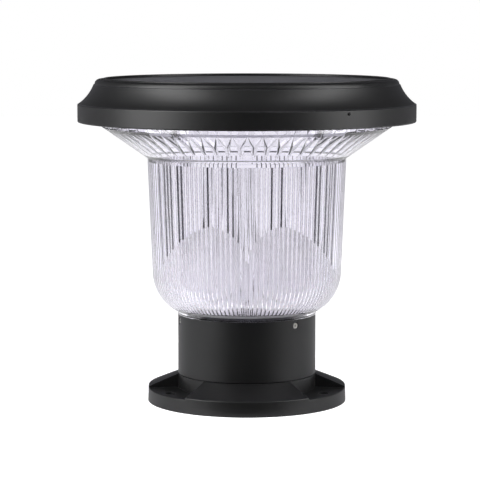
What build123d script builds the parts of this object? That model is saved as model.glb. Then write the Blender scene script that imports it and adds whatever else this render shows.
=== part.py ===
from build123d import *
import os
from math import asin, cos, degrees, pi, radians, sin, sqrt, tan

os.makedirs("parts", exist_ok=True)

# Round solar light for a gate pillar, in millimetres.
# The origin is the centre of the mounting face, +Z is up and -Y is the front.
# From the bottom: a cast flange, a short column, a clear prismatic bowl,
# and a cast head that holds the solar panel, the cells and the electronics.

# Heights, from the mounting face up
flange_height = 20.3
column_height = 45.1
collar_height = 3.2
bowl_height = 112.6
flare_height = 23.2
bowl_rim_height = 4.4
band_drop = 0.8
band_height = 13.4
cover_height = 18.8

# Outer radii and slopes
flange_radius = 74.0
column_radius = 51.4
bowl_radius = 73.7
bowl_draft = 2.29
bowl_bend_radius = 33.0
band_radius = 125.0
band_overhang = 18.0
flare_radius = band_radius - band_overhang

# Clearances
slide_gap = 0.3
thread_gap = 0.05
seal_gap = 0.1
cut_overrun = 2.0

# Levels
seam_z = flange_height
collar_z = seam_z + column_height
bowl_z = collar_z + collar_height
corner_z = bowl_z + bowl_height
flare_z = corner_z + flare_height
head_z = flare_z + bowl_rim_height
band_z = head_z - band_drop
parting_z = band_z + band_height
top_z = parting_z + cover_height


def radial_plane(bearing, radius, height):
    """A plane that faces outward at a bearing, with its own X axis pointing up."""
    outward = (cos(radians(bearing)), sin(radians(bearing)), 0)
    spot = (radius * outward[0], radius * outward[1], height)
    return Plane(origin=spot, x_dir=(0, 0, 1), z_dir=outward)


def wedge_points(half_angle, reach):
    """A triangle from the axis outward, opened by the half angle each way."""
    across = reach * tan(radians(half_angle))
    return [(0, 0), (reach, -across), (reach, across)]


def star_points(count, valley_radius, ridge_radius):
    """A closed ring of vee ridges that point at the axis."""
    points = []
    for step in range(2 * count):
        radius = valley_radius if step % 2 == 0 else ridge_radius
        turn = pi * step / count
        points.append((radius * cos(turn), radius * sin(turn)))
    return points


def pan_screw(thread_radius, length, head_radius, head_height):
    """A pan head screw that stands on its plane with the shank below it."""
    slot_width = thread_radius * 0.4
    slot_length = head_radius * 1.1
    with BuildPart() as screw:
        with BuildSketch(Plane.XY):
            Circle(head_radius)
        extrude(amount=head_height)
        crown = screw.edges().sort_by(Axis.Z)[-1:]
        fillet(crown, head_height * 0.4)
        with BuildSketch(Plane.XY):
            Circle(thread_radius)
        extrude(amount=-length)
        with BuildSketch(Plane.XY.offset(head_height)):
            Rectangle(slot_length, slot_width)
            Rectangle(slot_width, slot_length)
        extrude(amount=-head_height * 0.6, mode=Mode.SUBTRACT)
    return screw.part


def set_screw(thread_radius, length, socket_radius):
    """A hexagon socket set screw, its mouth on its plane and its tip below."""
    with BuildPart() as screw:
        with BuildSketch(Plane.XY):
            Circle(thread_radius)
        extrude(amount=-length)
        tip = screw.edges().sort_by(Axis.Z)[:1]
        chamfer(tip, thread_radius * 0.25)
        with BuildSketch(Plane.XY):
            RegularPolygon(socket_radius, 6)
        extrude(amount=-length * 0.6, mode=Mode.SUBTRACT)
    return screw.part


def lead_wire(points, bend, wire_radius):
    """One round lead along a route of straight runs with rounded corners."""
    with BuildPart() as wire:
        with BuildLine() as path:
            FilletPolyline(*points, radius=bend)
        start = Plane(origin=path.line @ 0, z_dir=path.line % 0)
        with BuildSketch(start):
            Circle(wire_radius)
        sweep(path=path.line)
    return wire.part


# Cast mounting flange: a rim, three raised sloping sectors, three bolt pockets
flange_rim_height = 11.2
flange_crease_inset = 0.4
flange_crease_round = 0.5
pocket_count = 3
pocket_angle = 45.0
pocket_bearing = 90.0
pocket_floor_height = 10.2
pocket_edge_round = 0.8
bolt_circle_inset = 9.0
bolt_circle_radius = flange_radius - bolt_circle_inset
bolt_hole_radius = 3.75
flange_hole_inset = 13.4
flange_hole_radius = column_radius - flange_hole_inset
flange_deck = 4.0
flange_wall = 4.0
flange_rib = 3.0
flange_skirt = 4.5

# Short cast column with three screw bosses inside its foot
column_wall = 3.0
column_foot_round = 0.8
column_bore = column_radius - column_wall
column_screw_count = 3
column_screw_bearing = 30.0
column_boss_radius = 4.5
column_boss_height = 14.0
column_boss_inset = 0.7
column_boss_circle = column_bore + column_boss_inset - column_boss_radius
register_wall = 3.0
register_height = 6.0
register_radius = column_bore - slide_gap

# M4 pan head screws from below, through the flange deck into the bosses
m4_radius = 2.0
m4_head_radius = 3.9
m4_head_height = 2.8
column_screw_length = 14.0

# Stainless M4 set screws that lock the neck of the bowl in the column
neck_screw_count = 3
neck_screw_bearing = -46.0
neck_screw_drop = 4.6
neck_screw_recess = 0.5
neck_countersink_radius = 3.1
m4_socket_radius = 1.15

# M3 screws of the bowl, the boards and the cradle
m3_radius = 1.5
m3_head_radius = 2.8
m3_head_height = 2.2
m3_socket_radius = 0.85
m3_length = 6.0
bowl_screw_length = 8.0

flange_deck_z = seam_z - flange_deck
skirt_inner = column_radius - flange_skirt
rim_inner = flange_radius - flange_wall
slope_run = flange_radius - flange_crease_inset - column_radius
slope_rise = seam_z - flange_rim_height
slope_per_mm = slope_rise / slope_run

with BuildPart() as flange_hollow:
    with BuildSketch(Plane.XZ):
        with BuildLine():
            Polyline(
                (column_radius, 0),
                (rim_inner, 0),
                (rim_inner, flange_rim_height + slope_per_mm * flange_wall - flange_wall),
                (column_radius, seam_z - flange_wall * 1.2),
                close=True,
            )
        make_face()
    revolve(axis=Axis.Z)
    with BuildSketch(Plane.XY):
        for number in range(pocket_count):
            turn = pocket_bearing + number * 360 / pocket_count
            half = pocket_angle / 2 + degrees(flange_wall / column_radius)
            Polygon(*wedge_points(half, flange_radius), align=None, rotation=turn)
        rib_bearing = pocket_bearing + 180 / pocket_count
        with PolarLocations(flange_radius / 2, pocket_count, start_angle=rib_bearing):
            Rectangle(flange_radius, flange_rib)
    extrude(amount=seam_z, mode=Mode.SUBTRACT)

with BuildPart() as base_flange:
    with BuildSketch(Plane.XZ):
        with BuildLine():
            Polyline(
                (skirt_inner, 0),
                (flange_radius, 0),
                (flange_radius - flange_crease_inset, flange_rim_height),
                (column_radius, seam_z),
                (register_radius, seam_z),
                (register_radius, seam_z + register_height),
                (register_radius - register_wall, seam_z + register_height),
                (register_radius - register_wall, seam_z),
                (flange_hole_radius, seam_z),
                (flange_hole_radius, flange_deck_z),
                (skirt_inner, flange_deck_z),
                close=True,
            )
        make_face()
    revolve(axis=Axis.Z)
    crease = base_flange.edges().filter_by_position(
        Axis.Z, flange_rim_height, flange_rim_height
    )
    fillet(crease, flange_crease_round)
    with BuildSketch(Plane.XY.offset(pocket_floor_height)):
        for number in range(pocket_count):
            turn = pocket_bearing + number * 360 / pocket_count
            reach = flange_radius + cut_overrun
            Polygon(*wedge_points(pocket_angle / 2, reach), align=None, rotation=turn)
        Circle(column_radius, mode=Mode.SUBTRACT)
    extrude(amount=seam_z, mode=Mode.SUBTRACT)
    pads = base_flange.faces().filter_by(Axis.Z).filter_by_position(
        Axis.Z, pocket_floor_height, pocket_floor_height
    )
    pad_rims = pads.edges().filter_by(GeomType.CIRCLE).group_by(SortBy.RADIUS)[-1]
    fillet(pad_rims, pocket_edge_round)
    add(flange_hollow.part, mode=Mode.SUBTRACT)
    with BuildSketch(Plane.XY):
        with PolarLocations(bolt_circle_radius, pocket_count, start_angle=pocket_bearing):
            Circle(bolt_hole_radius)
    extrude(amount=seam_z, mode=Mode.SUBTRACT)
    with BuildSketch(Plane.XY.offset(seam_z)):
        with PolarLocations(column_boss_circle, column_screw_count, start_angle=column_screw_bearing):
            Circle(column_boss_radius + slide_gap)
    extrude(amount=register_height, mode=Mode.SUBTRACT)
    with BuildSketch(Plane.XY.offset(seam_z)):
        with PolarLocations(column_boss_circle, column_screw_count, start_angle=column_screw_bearing):
            Circle(m4_radius + slide_gap)
    extrude(amount=-flange_height, mode=Mode.SUBTRACT)
    with BuildSketch(Plane.XY.offset(flange_deck_z)):
        with PolarLocations(column_boss_circle, column_screw_count, start_angle=column_screw_bearing):
            Circle(m4_head_radius + slide_gap)
    extrude(amount=-flange_deck_z, mode=Mode.SUBTRACT)
base_flange.part.label = "base_flange"
export_step(base_flange.part, "parts/base_flange.step")

neck_screw_z = collar_z - neck_screw_drop
neck_bearings = [neck_screw_bearing + n * 360 / neck_screw_count for n in range(neck_screw_count)]

with BuildPart() as column:
    with BuildSketch(Plane.XY.offset(seam_z)):
        Circle(column_radius)
        Circle(column_bore, mode=Mode.SUBTRACT)
    extrude(amount=column_height)
    foot = column.edges().filter_by_position(Axis.Z, seam_z, seam_z)
    fillet(foot.sort_by(SortBy.RADIUS)[-1:], column_foot_round)
    with BuildSketch(Plane.XY.offset(seam_z)):
        with PolarLocations(column_boss_circle, column_screw_count, start_angle=column_screw_bearing):
            Circle(column_boss_radius)
    extrude(amount=column_boss_height)
    with BuildSketch(Plane.XY.offset(seam_z)):
        with PolarLocations(column_boss_circle, column_screw_count, start_angle=column_screw_bearing):
            Circle(m4_radius + thread_gap)
    extrude(amount=column_boss_height - column_wall, mode=Mode.SUBTRACT)
    for bearing in neck_bearings:
        with BuildSketch(radial_plane(bearing, column_radius, neck_screw_z)):
            Circle(m4_radius + thread_gap)
        extrude(amount=-column_wall - column_boss_inset, mode=Mode.SUBTRACT)
        mouth = radial_plane(bearing, column_radius, neck_screw_z)
        with BuildSketch(mouth):
            Circle(neck_countersink_radius)
        with BuildSketch(mouth.offset(-neck_screw_recess * 2)):
            Circle(m4_radius + thread_gap)
        loft(mode=Mode.SUBTRACT)
column.part.label = "column"
export_step(column.part, "parts/column.step")

column_screw = pan_screw(m4_radius, column_screw_length, m4_head_radius, m4_head_height)
with BuildPart() as column_screws:
    with PolarLocations(column_boss_circle, column_screw_count, start_angle=column_screw_bearing):
        with Locations(Location((0, 0, flange_deck_z), (180, 0, 0))):
            add(column_screw)
column_screws.part.label = "column_screws"
export_step(column_screws.part, "parts/column_screws.step")

# Clear bowl, moulded in one piece with its collar, neck, flare and top rim
collar_overhang = 0.3
neck_step = 2.7
neck_wall = 3.0
neck_length = 14.0
bowl_wall = 2.8
bowl_floor_rise = 3.8
bowl_floor = 3.2
flute_count = 120
flute_slope = 1.0
flute_margin = 2.2
bend_shares = (0.0, 0.3, 0.55, 0.78, 1.0)
prism_count = 60
prism_depth_low = 0.4
prism_depth_high = 3.0
prism_margin = 7.3
bowl_rim_width = 6.0
bowl_boss_count = 6
bowl_boss_bearing = 0.0
bowl_boss_radius = 3.2
bowl_boss_overlap = 0.6
bowl_boss_circle = flare_radius - bowl_rim_width - bowl_boss_radius + bowl_boss_overlap
bowl_boss_depth = 7.5
bowl_boss_hole_depth = 6.0

neck_radius = register_radius
collar_radius = column_radius + collar_overhang
bowl_foot_radius = collar_radius + neck_step
draft_slope = tan(radians(bowl_draft))
draft_cos = cos(radians(bowl_draft))
flare_slope = flare_height / (flare_radius - bowl_radius)
flare_sin = flare_slope / sqrt(1 + flare_slope**2)

# The bend is an arc that is tangent to the drafted wall and ends at the foot
foot_offset = bowl_foot_radius - (bowl_radius - bowl_height * draft_slope - bowl_bend_radius / draft_cos)
tangent_square = 1 + draft_slope**2
bend_inner = foot_offset**2 * draft_slope**2 - tangent_square * (foot_offset**2 - bowl_bend_radius**2)
bend_rise = (foot_offset * draft_slope + sqrt(bend_inner)) / tangent_square
bend_centre_z = bowl_z + bend_rise
bend_centre_r = bowl_foot_radius - (foot_offset - bend_rise * draft_slope)
bend_start_r = bend_centre_r + bowl_bend_radius * draft_cos
bend_start_z = bend_centre_z - bowl_bend_radius * draft_cos * draft_slope
bend_middle_turn = asin(bend_rise / bowl_bend_radius) / 2
bend_middle_r = bend_centre_r + bowl_bend_radius * cos(bend_middle_turn)
bend_middle_z = bend_centre_z - bowl_bend_radius * sin(bend_middle_turn)


def outer_wall(z):
    """Outside radius of the drafted wall at a level."""
    return bowl_radius - (corner_z - z) * draft_slope


def inner_radius(z, skin):
    """Radius of a surface that lies one skin inside the bowl's outer surface."""
    if z >= bend_centre_z:
        return outer_wall(z) - skin / draft_cos
    return bend_centre_r + sqrt((bowl_bend_radius - skin) ** 2 - (bend_centre_z - z) ** 2)


def inner_flare(z):
    """Inside radius of the flare at a level."""
    return bowl_radius + (z - corner_z) / flare_slope - bowl_wall / flare_sin


bowl_floor_z = bowl_z + bowl_floor_rise
flute_top_z = corner_z - flute_margin
bend_turn = asin((bend_centre_z - bowl_floor_z) / (bowl_bend_radius - bowl_wall))
flute_levels = [bowl_floor_z] + [
    bend_centre_z - (bowl_bend_radius - bowl_wall) * sin(bend_turn * (1 - share))
    for share in bend_shares[1:]
] + [flute_top_z]
bowl_rim_inner = flare_radius - bowl_rim_width
prism_top_z = corner_z + (bowl_rim_inner + bowl_wall / flare_sin - bowl_radius) * flare_slope
prism_low_z = corner_z + prism_margin
inner_corner_rise = (bowl_wall / flare_sin - bowl_wall / draft_cos) / (1 / flare_slope - draft_slope)
inner_corner_z = corner_z + inner_corner_rise

with BuildPart() as fluted_space:
    for level in flute_levels:
        valley = inner_radius(level, bowl_wall)
        ridge = valley * (1 - flute_slope * pi / flute_count)
        with BuildSketch(Plane.XY.offset(level)):
            with BuildLine():
                Polyline(*star_points(flute_count, valley, ridge), close=True)
            make_face()
    loft(ruled=True)

with BuildPart() as prism_space:
    for level, depth in ((prism_low_z, prism_depth_low), (prism_top_z, prism_depth_high)):
        valley = inner_flare(level)
        with BuildSketch(Plane.XY.offset(level)):
            with BuildLine():
                Polyline(*star_points(prism_count, valley, valley - depth), close=True)
            make_face()
    loft(ruled=True)

with BuildPart() as plain_space:
    with BuildSketch(Plane.XZ):
        with BuildLine():
            Polyline(
                (0, flute_top_z),
                (inner_radius(flute_top_z, bowl_wall), flute_top_z),
                (inner_radius(inner_corner_z, bowl_wall), inner_corner_z),
                (inner_flare(prism_low_z), prism_low_z),
                (0, prism_low_z),
                close=True,
            )
        make_face()
    revolve(axis=Axis.Z)
    with BuildSketch(Plane.XY.offset(prism_top_z)):
        Circle(bowl_rim_inner)
    extrude(amount=head_z - prism_top_z + cut_overrun)

with BuildPart() as diffuser:
    with BuildSketch(Plane.XZ):
        with BuildLine():
            Line((0, collar_z - neck_length), (neck_radius, collar_z - neck_length))
            Line((neck_radius, collar_z - neck_length), (neck_radius, collar_z))
            Line((neck_radius, collar_z), (collar_radius, collar_z))
            Line((collar_radius, collar_z), (collar_radius, bowl_z))
            Line((collar_radius, bowl_z), (bowl_foot_radius, bowl_z))
            ThreePointArc(
                (bowl_foot_radius, bowl_z),
                (bend_middle_r, bend_middle_z),
                (bend_start_r, bend_start_z),
            )
            Line((bend_start_r, bend_start_z), (bowl_radius, corner_z))
            Line((bowl_radius, corner_z), (flare_radius, flare_z))
            Line((flare_radius, flare_z), (flare_radius, head_z))
            Line((flare_radius, head_z), (0, head_z))
            Line((0, head_z), (0, collar_z - neck_length))
        make_face()
    revolve(axis=Axis.Z)
    with BuildSketch(Plane.XY.offset(collar_z - neck_length)):
        Circle(neck_radius - neck_wall)
    extrude(amount=neck_length + bowl_floor_z - bowl_floor - collar_z, mode=Mode.SUBTRACT)
    add(fluted_space.part, mode=Mode.SUBTRACT)
    add(plain_space.part, mode=Mode.SUBTRACT)
    add(prism_space.part, mode=Mode.SUBTRACT)
    with BuildSketch(Plane.XY.offset(head_z)):
        with PolarLocations(bowl_boss_circle, bowl_boss_count, start_angle=bowl_boss_bearing):
            Circle(bowl_boss_radius)
    extrude(amount=-bowl_boss_depth)
    with BuildSketch(Plane.XY.offset(head_z)):
        with PolarLocations(bowl_boss_circle, bowl_boss_count, start_angle=bowl_boss_bearing):
            Circle(m3_radius + thread_gap)
    extrude(amount=-bowl_boss_hole_depth, mode=Mode.SUBTRACT)
    with BuildSketch(Plane.XY.offset(bowl_floor_z)):
        Circle(m3_radius + slide_gap)
    extrude(amount=-bowl_floor, mode=Mode.SUBTRACT)
diffuser.part.label = "diffuser"
export_step(diffuser.part, "parts/diffuser.step")

# White reflector dome with a flat foot on the bowl floor, held by one screw from below
reflector_inset = 6.4
reflector_height = 56.0
reflector_skirt = 3.0
reflector_foot_reach = 7.8
reflector_foot = 1.6
reflector_wall = 2.0
reflector_tip_radius = 5.0
reflector_post_radius = 4.0
reflector_screw_length = 12.0
reflector_radius = column_radius - reflector_inset
reflector_screw_z = bowl_floor_z - bowl_floor

with BuildPart() as reflector:
    crest_z = bowl_floor_z + reflector_height
    skirt_z = bowl_floor_z + reflector_skirt
    with BuildSketch(Plane.XZ):
        with BuildLine():
            Polyline(
                (reflector_radius - reflector_wall, bowl_floor_z),
                (reflector_radius + reflector_foot_reach, bowl_floor_z),
                (reflector_radius + reflector_foot_reach, bowl_floor_z + reflector_foot),
                (reflector_radius, bowl_floor_z + reflector_foot),
                (reflector_radius, skirt_z),
            )
            TangentArc(
                (reflector_radius, skirt_z),
                (reflector_tip_radius, crest_z),
                tangent=(0, 1),
            )
            Line((reflector_tip_radius, crest_z), (0, crest_z))
            Line((0, crest_z), (0, crest_z - reflector_wall))
            Line((0, crest_z - reflector_wall), (reflector_tip_radius, crest_z - reflector_wall))
            TangentArc(
                (reflector_radius - reflector_wall, skirt_z),
                (reflector_tip_radius, crest_z - reflector_wall),
                tangent=(0, 1),
            )
            Line(
                (reflector_radius - reflector_wall, skirt_z),
                (reflector_radius - reflector_wall, bowl_floor_z),
            )
        make_face()
    revolve(axis=Axis.Z)
    with BuildSketch(Plane.XY.offset(bowl_floor_z)):
        Circle(reflector_post_radius)
    extrude(until=Until.NEXT)
    with BuildSketch(Plane.XY.offset(bowl_floor_z)):
        Circle(m3_radius + thread_gap)
    extrude(amount=reflector_screw_length, mode=Mode.SUBTRACT)
reflector.part.label = "reflector"
export_step(reflector.part, "parts/reflector.step")

with BuildPart() as reflector_screw:
    with Locations(Location((0, 0, reflector_screw_z), (180, 0, 0))):
        add(pan_screw(m3_radius, reflector_screw_length, m3_head_radius, m3_head_height))
reflector_screw.part.label = "reflector_screw"
export_step(reflector_screw.part, "parts/reflector_screw.step")

neck_screw = set_screw(m4_radius, column_wall - neck_screw_recess - thread_gap, m4_socket_radius)
with BuildPart() as neck_screws:
    for bearing in neck_bearings:
        mouth = radial_plane(bearing, column_radius - neck_screw_recess, neck_screw_z)
        with Locations(mouth.location):
            add(neck_screw)
neck_screws.part.label = "neck_screws"
export_step(neck_screws.part, "parts/neck_screws.step")

# Cast head: a floor that closes the electronics from below, and the outer band
band_wall = 3.2
band_foot_round = 0.9
band_top_round = 0.7
head_floor = 2.6
gasket_width = 2.2
gasket_depth = 1.2
grommet_hole_radius = 4.0
led_board_inset = 3.8
led_board_radius = bowl_boss_circle - led_board_inset
led_board_hole = 6.5
board_thickness = 1.6
led_screw_inset = 14.6
led_screw_circle = led_board_radius - led_screw_inset
led_screw_count = 4
led_screw_bearing = 45.0
boss_radius = 3.2
led_boss_height = 4.0

band_inner = band_radius - band_wall
head_floor_z = head_z + head_floor
gasket_radius = flare_radius - bowl_rim_width / 2

# Controller board on four standoffs, behind the row of cells
controller_length = 64.0
controller_width = 44.0
controller_y = 32.0
controller_inset = 5.0
standoff_height = 5.0
controller_z = head_floor_z + standoff_height
controller_top = controller_z + board_thickness
standoff_x = controller_length - 2 * controller_inset
standoff_y = controller_width - 2 * controller_inset

# Three lithium cells side by side in a moulded cradle
cell_radius = 9.15
cell_length = 65.0
cell_count = 3
cell_pitch = 19.0
cell_gap = 0.3
cell_row_y = -36.0
cradle_base = 1.5
cradle_wall = 2.0
cradle_height = 6.5
cradle_ear = 9.0
cradle_ear_thickness = 2.0
cradle_boss_height = 4.0
tab_thickness = 0.3
tab_width = 8.0
cell_z = head_floor_z + cradle_base + cell_gap + cell_radius
cradle_length = cell_length + 2 * (tab_thickness + cell_gap + cradle_wall)
cradle_width = (cell_count - 1) * cell_pitch + 2 * (cell_radius + cell_gap + cradle_wall)
ear_x = cradle_length / 2 + cradle_ear / 2

# Push button with its switch, on the hidden underside of the head at the back
button_inset = 12.0
button_circle = band_radius - button_inset
button_radius = 3.0
button_proud = 1.8
button_travel = 1.5
button_collar_radius = 3.9
button_collar = 1.0
button_round = 0.6
plunger_radius = 1.5
switch_size = 7.8
switch_height = 7.0
switch_board_length = 23.0
switch_board_width = 8.8
switch_board_thickness = 1.2
switch_post_radius = 2.8
switch_post_spacing = 17.0
m25_radius = 1.25
m25_head_radius = 2.2
m25_head_height = 1.6
m25_length = 5.0
switch_z = head_floor_z + button_collar + button_travel + slide_gap
switch_board_z = switch_z + switch_height
switch_board_top = switch_board_z + switch_board_thickness

# Set screws in the band, which hold the cover's skirt
cover_screw_count = 3
cover_screw_bearing = -56.0
cover_screw_drop = 2.9
cover_screw_recess = 0.6
cover_screw_z = parting_z - cover_screw_drop
cover_bearings = [cover_screw_bearing + n * 360 / cover_screw_count for n in range(cover_screw_count)]

with BuildPart() as head_base:
    with BuildSketch(Plane.XZ):
        with BuildLine():
            Polyline(
                (0, head_z),
                (band_inner, head_z),
                (band_inner, band_z),
                (band_radius, band_z),
                (band_radius, parting_z),
                (band_inner, parting_z),
                (band_inner, head_floor_z),
                (0, head_floor_z),
                close=True,
            )
        make_face()
    revolve(axis=Axis.Z)
    foot = head_base.edges().filter_by_position(Axis.Z, band_z, band_z)
    fillet(foot.sort_by(SortBy.RADIUS)[-1:], band_foot_round)
    crest = head_base.edges().filter_by_position(Axis.Z, parting_z, parting_z)
    fillet(crest.sort_by(SortBy.RADIUS)[-1:], band_top_round)
    with BuildSketch(Plane.XY.offset(head_z)):
        Circle(gasket_radius + gasket_width / 2)
        Circle(gasket_radius - gasket_width / 2, mode=Mode.SUBTRACT)
    extrude(amount=gasket_depth, mode=Mode.SUBTRACT)
    with BuildSketch(Plane.XY.offset(head_floor_z)):
        with PolarLocations(led_screw_circle, led_screw_count, start_angle=led_screw_bearing):
            Circle(boss_radius)
        with Locations((ear_x, cell_row_y), (-ear_x, cell_row_y)):
            Circle(boss_radius)
    extrude(amount=led_boss_height)
    with BuildSketch(Plane.XY.offset(head_floor_z)):
        with Locations((0, controller_y)):
            with GridLocations(standoff_x, standoff_y, 2, 2):
                Circle(boss_radius)
    extrude(amount=standoff_height)
    with BuildSketch(Plane.XY.offset(head_floor_z)):
        with Locations((0, button_circle)):
            with GridLocations(switch_post_spacing, 0, 2, 1):
                Circle(switch_post_radius)
    extrude(amount=switch_board_z - head_floor_z)
    with BuildSketch(Plane.XY.offset(head_z)):
        with PolarLocations(led_screw_circle, led_screw_count, start_angle=led_screw_bearing):
            Circle(m3_radius + thread_gap)
    extrude(amount=m3_length - board_thickness + thread_gap, mode=Mode.SUBTRACT)
    with BuildSketch(Plane.XY.offset(head_floor_z + cradle_boss_height)):
        with Locations((ear_x, cell_row_y), (-ear_x, cell_row_y)):
            Circle(m3_radius + thread_gap)
    extrude(amount=cradle_ear_thickness - m3_length - thread_gap, mode=Mode.SUBTRACT)
    with BuildSketch(Plane.XY.offset(controller_z)):
        with Locations((0, controller_y)):
            with GridLocations(standoff_x, standoff_y, 2, 2):
                Circle(m3_radius + thread_gap)
    extrude(amount=board_thickness - m3_length - thread_gap, mode=Mode.SUBTRACT)
    with BuildSketch(Plane.XY.offset(switch_board_z)):
        with Locations((0, button_circle)):
            with GridLocations(switch_post_spacing, 0, 2, 1):
                Circle(m25_radius + thread_gap)
    extrude(amount=switch_board_thickness - m25_length - thread_gap, mode=Mode.SUBTRACT)
    with BuildSketch(Plane.XY.offset(head_z)):
        with PolarLocations(bowl_boss_circle, bowl_boss_count, start_angle=bowl_boss_bearing):
            Circle(m3_radius + slide_gap)
        Circle(grommet_hole_radius)
        with Locations((0, button_circle)):
            Circle(button_radius + slide_gap)
    extrude(amount=head_floor, mode=Mode.SUBTRACT)
    for bearing in cover_bearings:
        with BuildSketch(radial_plane(bearing, band_radius, cover_screw_z)):
            Circle(m3_radius + thread_gap)
        extrude(amount=-band_wall - thread_gap, mode=Mode.SUBTRACT)
head_base.part.label = "head_base"
export_step(head_base.part, "parts/head_base.step")

with BuildPart() as diffuser_gasket:
    with BuildSketch(Plane.XY.offset(head_z)):
        Circle(gasket_radius + gasket_width / 2 - seal_gap)
        Circle(gasket_radius - gasket_width / 2 + seal_gap, mode=Mode.SUBTRACT)
    extrude(amount=gasket_depth - thread_gap)
diffuser_gasket.part.label = "diffuser_gasket"
export_step(diffuser_gasket.part, "parts/diffuser_gasket.step")

bowl_screw = pan_screw(m3_radius, bowl_screw_length, m3_head_radius, m3_head_height)
with BuildPart() as diffuser_screws:
    with Locations((0, 0, head_floor_z)):
        with PolarLocations(bowl_boss_circle, bowl_boss_count, start_angle=bowl_boss_bearing):
            add(bowl_screw)
diffuser_screws.part.label = "diffuser_screws"
export_step(diffuser_screws.part, "parts/diffuser_screws.step")

cover_screw = set_screw(m3_radius, band_wall - cover_screw_recess - thread_gap, m3_socket_radius)
with BuildPart() as cover_screws:
    for bearing in cover_bearings:
        mouth = radial_plane(bearing, band_radius - cover_screw_recess, cover_screw_z)
        with Locations(mouth.location):
            add(cover_screw)
cover_screws.part.label = "cover_screws"
export_step(cover_screws.part, "parts/cover_screws.step")

# Cast cover: concave outside, a lip and a seat for the panel, a skirt inside the band
cover_foot_inset = 0.7
cover_waist_drop = 7.9
cover_waist_inset = 7.4
cover_shoulder_drop = 4.6
cover_shoulder_inset = 12.0
cover_top_round = 3.6
cover_wall = 3.2
skirt_wall = 2.8
skirt_length = 7.0
seal_height = 1.8
seal_depth = 1.5
seal_rise = 0.9
panel_inset = 21.2
panel_radius = band_radius - panel_inset
panel_gap = 0.4
lip_width = 1.8
lip_rise = 0.7
lip_round = 0.4
lip_groove_width = 1.3
lip_groove_depth = 0.8
panel_recess = 1.7
glass_thickness = 3.6
panel_tape = 0.5
seat_width = 6.0
seat_thickness = 2.2

skirt_outer = band_inner - slide_gap
skirt_inner_radius = skirt_outer - skirt_wall
seat_z = top_z - panel_recess - glass_thickness - board_thickness - panel_tape
seat_under_z = seat_z - seat_thickness
lip_inner = panel_radius + panel_gap
groove_inner = lip_inner + lip_width
groove_outer = groove_inner + lip_groove_width
shoulder_r = band_radius - cover_shoulder_inset
shoulder_z = top_z - cover_shoulder_drop
crown_z = top_z - lip_rise
crown_r = shoulder_r - cover_top_round * 0.2
inner_shoulder_r = shoulder_r - cover_wall * 0.6

with BuildPart() as top_cover:
    with BuildSketch(Plane.XZ):
        with BuildLine():
            Line((skirt_inner_radius, parting_z - skirt_length), (skirt_outer, parting_z - skirt_length))
            Line((skirt_outer, parting_z - skirt_length), (skirt_outer, parting_z))
            Line((skirt_outer, parting_z), (band_radius - cover_foot_inset, parting_z))
            ThreePointArc(
                (band_radius - cover_foot_inset, parting_z),
                (band_radius - cover_waist_inset, top_z - cover_waist_drop - cover_shoulder_drop),
                (shoulder_r, shoulder_z),
            )
            Line((shoulder_r, shoulder_z), (crown_r, crown_z - cover_top_round))
            TangentArc(
                (crown_r, crown_z - cover_top_round),
                (crown_r - cover_top_round, crown_z),
                tangent=(0, 1),
            )
            Polyline(
                (crown_r - cover_top_round, crown_z),
                (groove_outer, crown_z),
                (groove_outer, crown_z - lip_groove_depth),
                (groove_inner, crown_z - lip_groove_depth),
                (groove_inner, top_z),
                (lip_inner, top_z),
                (lip_inner, seat_z),
                (lip_inner - seat_width, seat_z),
                (lip_inner - seat_width, seat_under_z),
                (inner_shoulder_r, seat_under_z),
                (skirt_inner_radius, parting_z + cover_wall * 0.6),
                (skirt_inner_radius, parting_z - skirt_length),
            )
        make_face()
    revolve(axis=Axis.Z)
    lip_edges = top_cover.edges().filter_by_position(Axis.Z, top_z, top_z)
    fillet(lip_edges, lip_round)
    with BuildSketch(Plane.XY.offset(parting_z - skirt_length + seal_rise)):
        Circle(skirt_outer)
        Circle(skirt_outer - seal_depth, mode=Mode.SUBTRACT)
    extrude(amount=seal_height, mode=Mode.SUBTRACT)
top_cover.part.label = "top_cover"
export_step(top_cover.part, "parts/top_cover.step")

with BuildPart() as cover_seal:
    with BuildSketch(Plane.XY.offset(parting_z - skirt_length + seal_rise + thread_gap)):
        Circle(band_inner - seal_gap)
        Circle(skirt_outer - seal_depth + seal_gap, mode=Mode.SUBTRACT)
    extrude(amount=seal_height - 2 * thread_gap)
cover_seal.part.label = "cover_seal"
export_step(cover_seal.part, "parts/cover_seal.step")

# Solar panel: foam tape, back board, cut cells, and the clear cover over them
cell_field_inset = 8.8
cell_field_radius = panel_radius - cell_field_inset
strip_count = 12
strip_gap = 0.6
strip_thickness = 0.3
strip_pocket = 0.4
panel_board_z = seat_z + panel_tape
strip_z = panel_board_z + board_thickness
strip_pitch = 2 * cell_field_radius / strip_count

with BuildPart() as panel_gasket:
    with BuildSketch(Plane.XY.offset(seat_z)):
        Circle(panel_radius)
        Circle(lip_inner - seat_width, mode=Mode.SUBTRACT)
    extrude(amount=panel_tape)
panel_gasket.part.label = "panel_gasket"
export_step(panel_gasket.part, "parts/panel_gasket.step")

with BuildPart() as panel_board:
    with BuildSketch(Plane.XY.offset(panel_board_z)):
        Circle(panel_radius)
    extrude(amount=board_thickness)
panel_board.part.label = "panel_board"
export_step(panel_board.part, "parts/panel_board.step")

with BuildPart() as solar_cells:
    with BuildSketch(Plane.XY.offset(strip_z)):
        Circle(cell_field_radius)
        with GridLocations(0, strip_pitch, 1, strip_count):
            Rectangle(2 * cell_field_radius, strip_pitch - strip_gap, mode=Mode.INTERSECT)
    extrude(amount=strip_thickness)
solar_cells.part.label = "solar_cells"
export_step(solar_cells.part, "parts/solar_cells.step")

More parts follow.
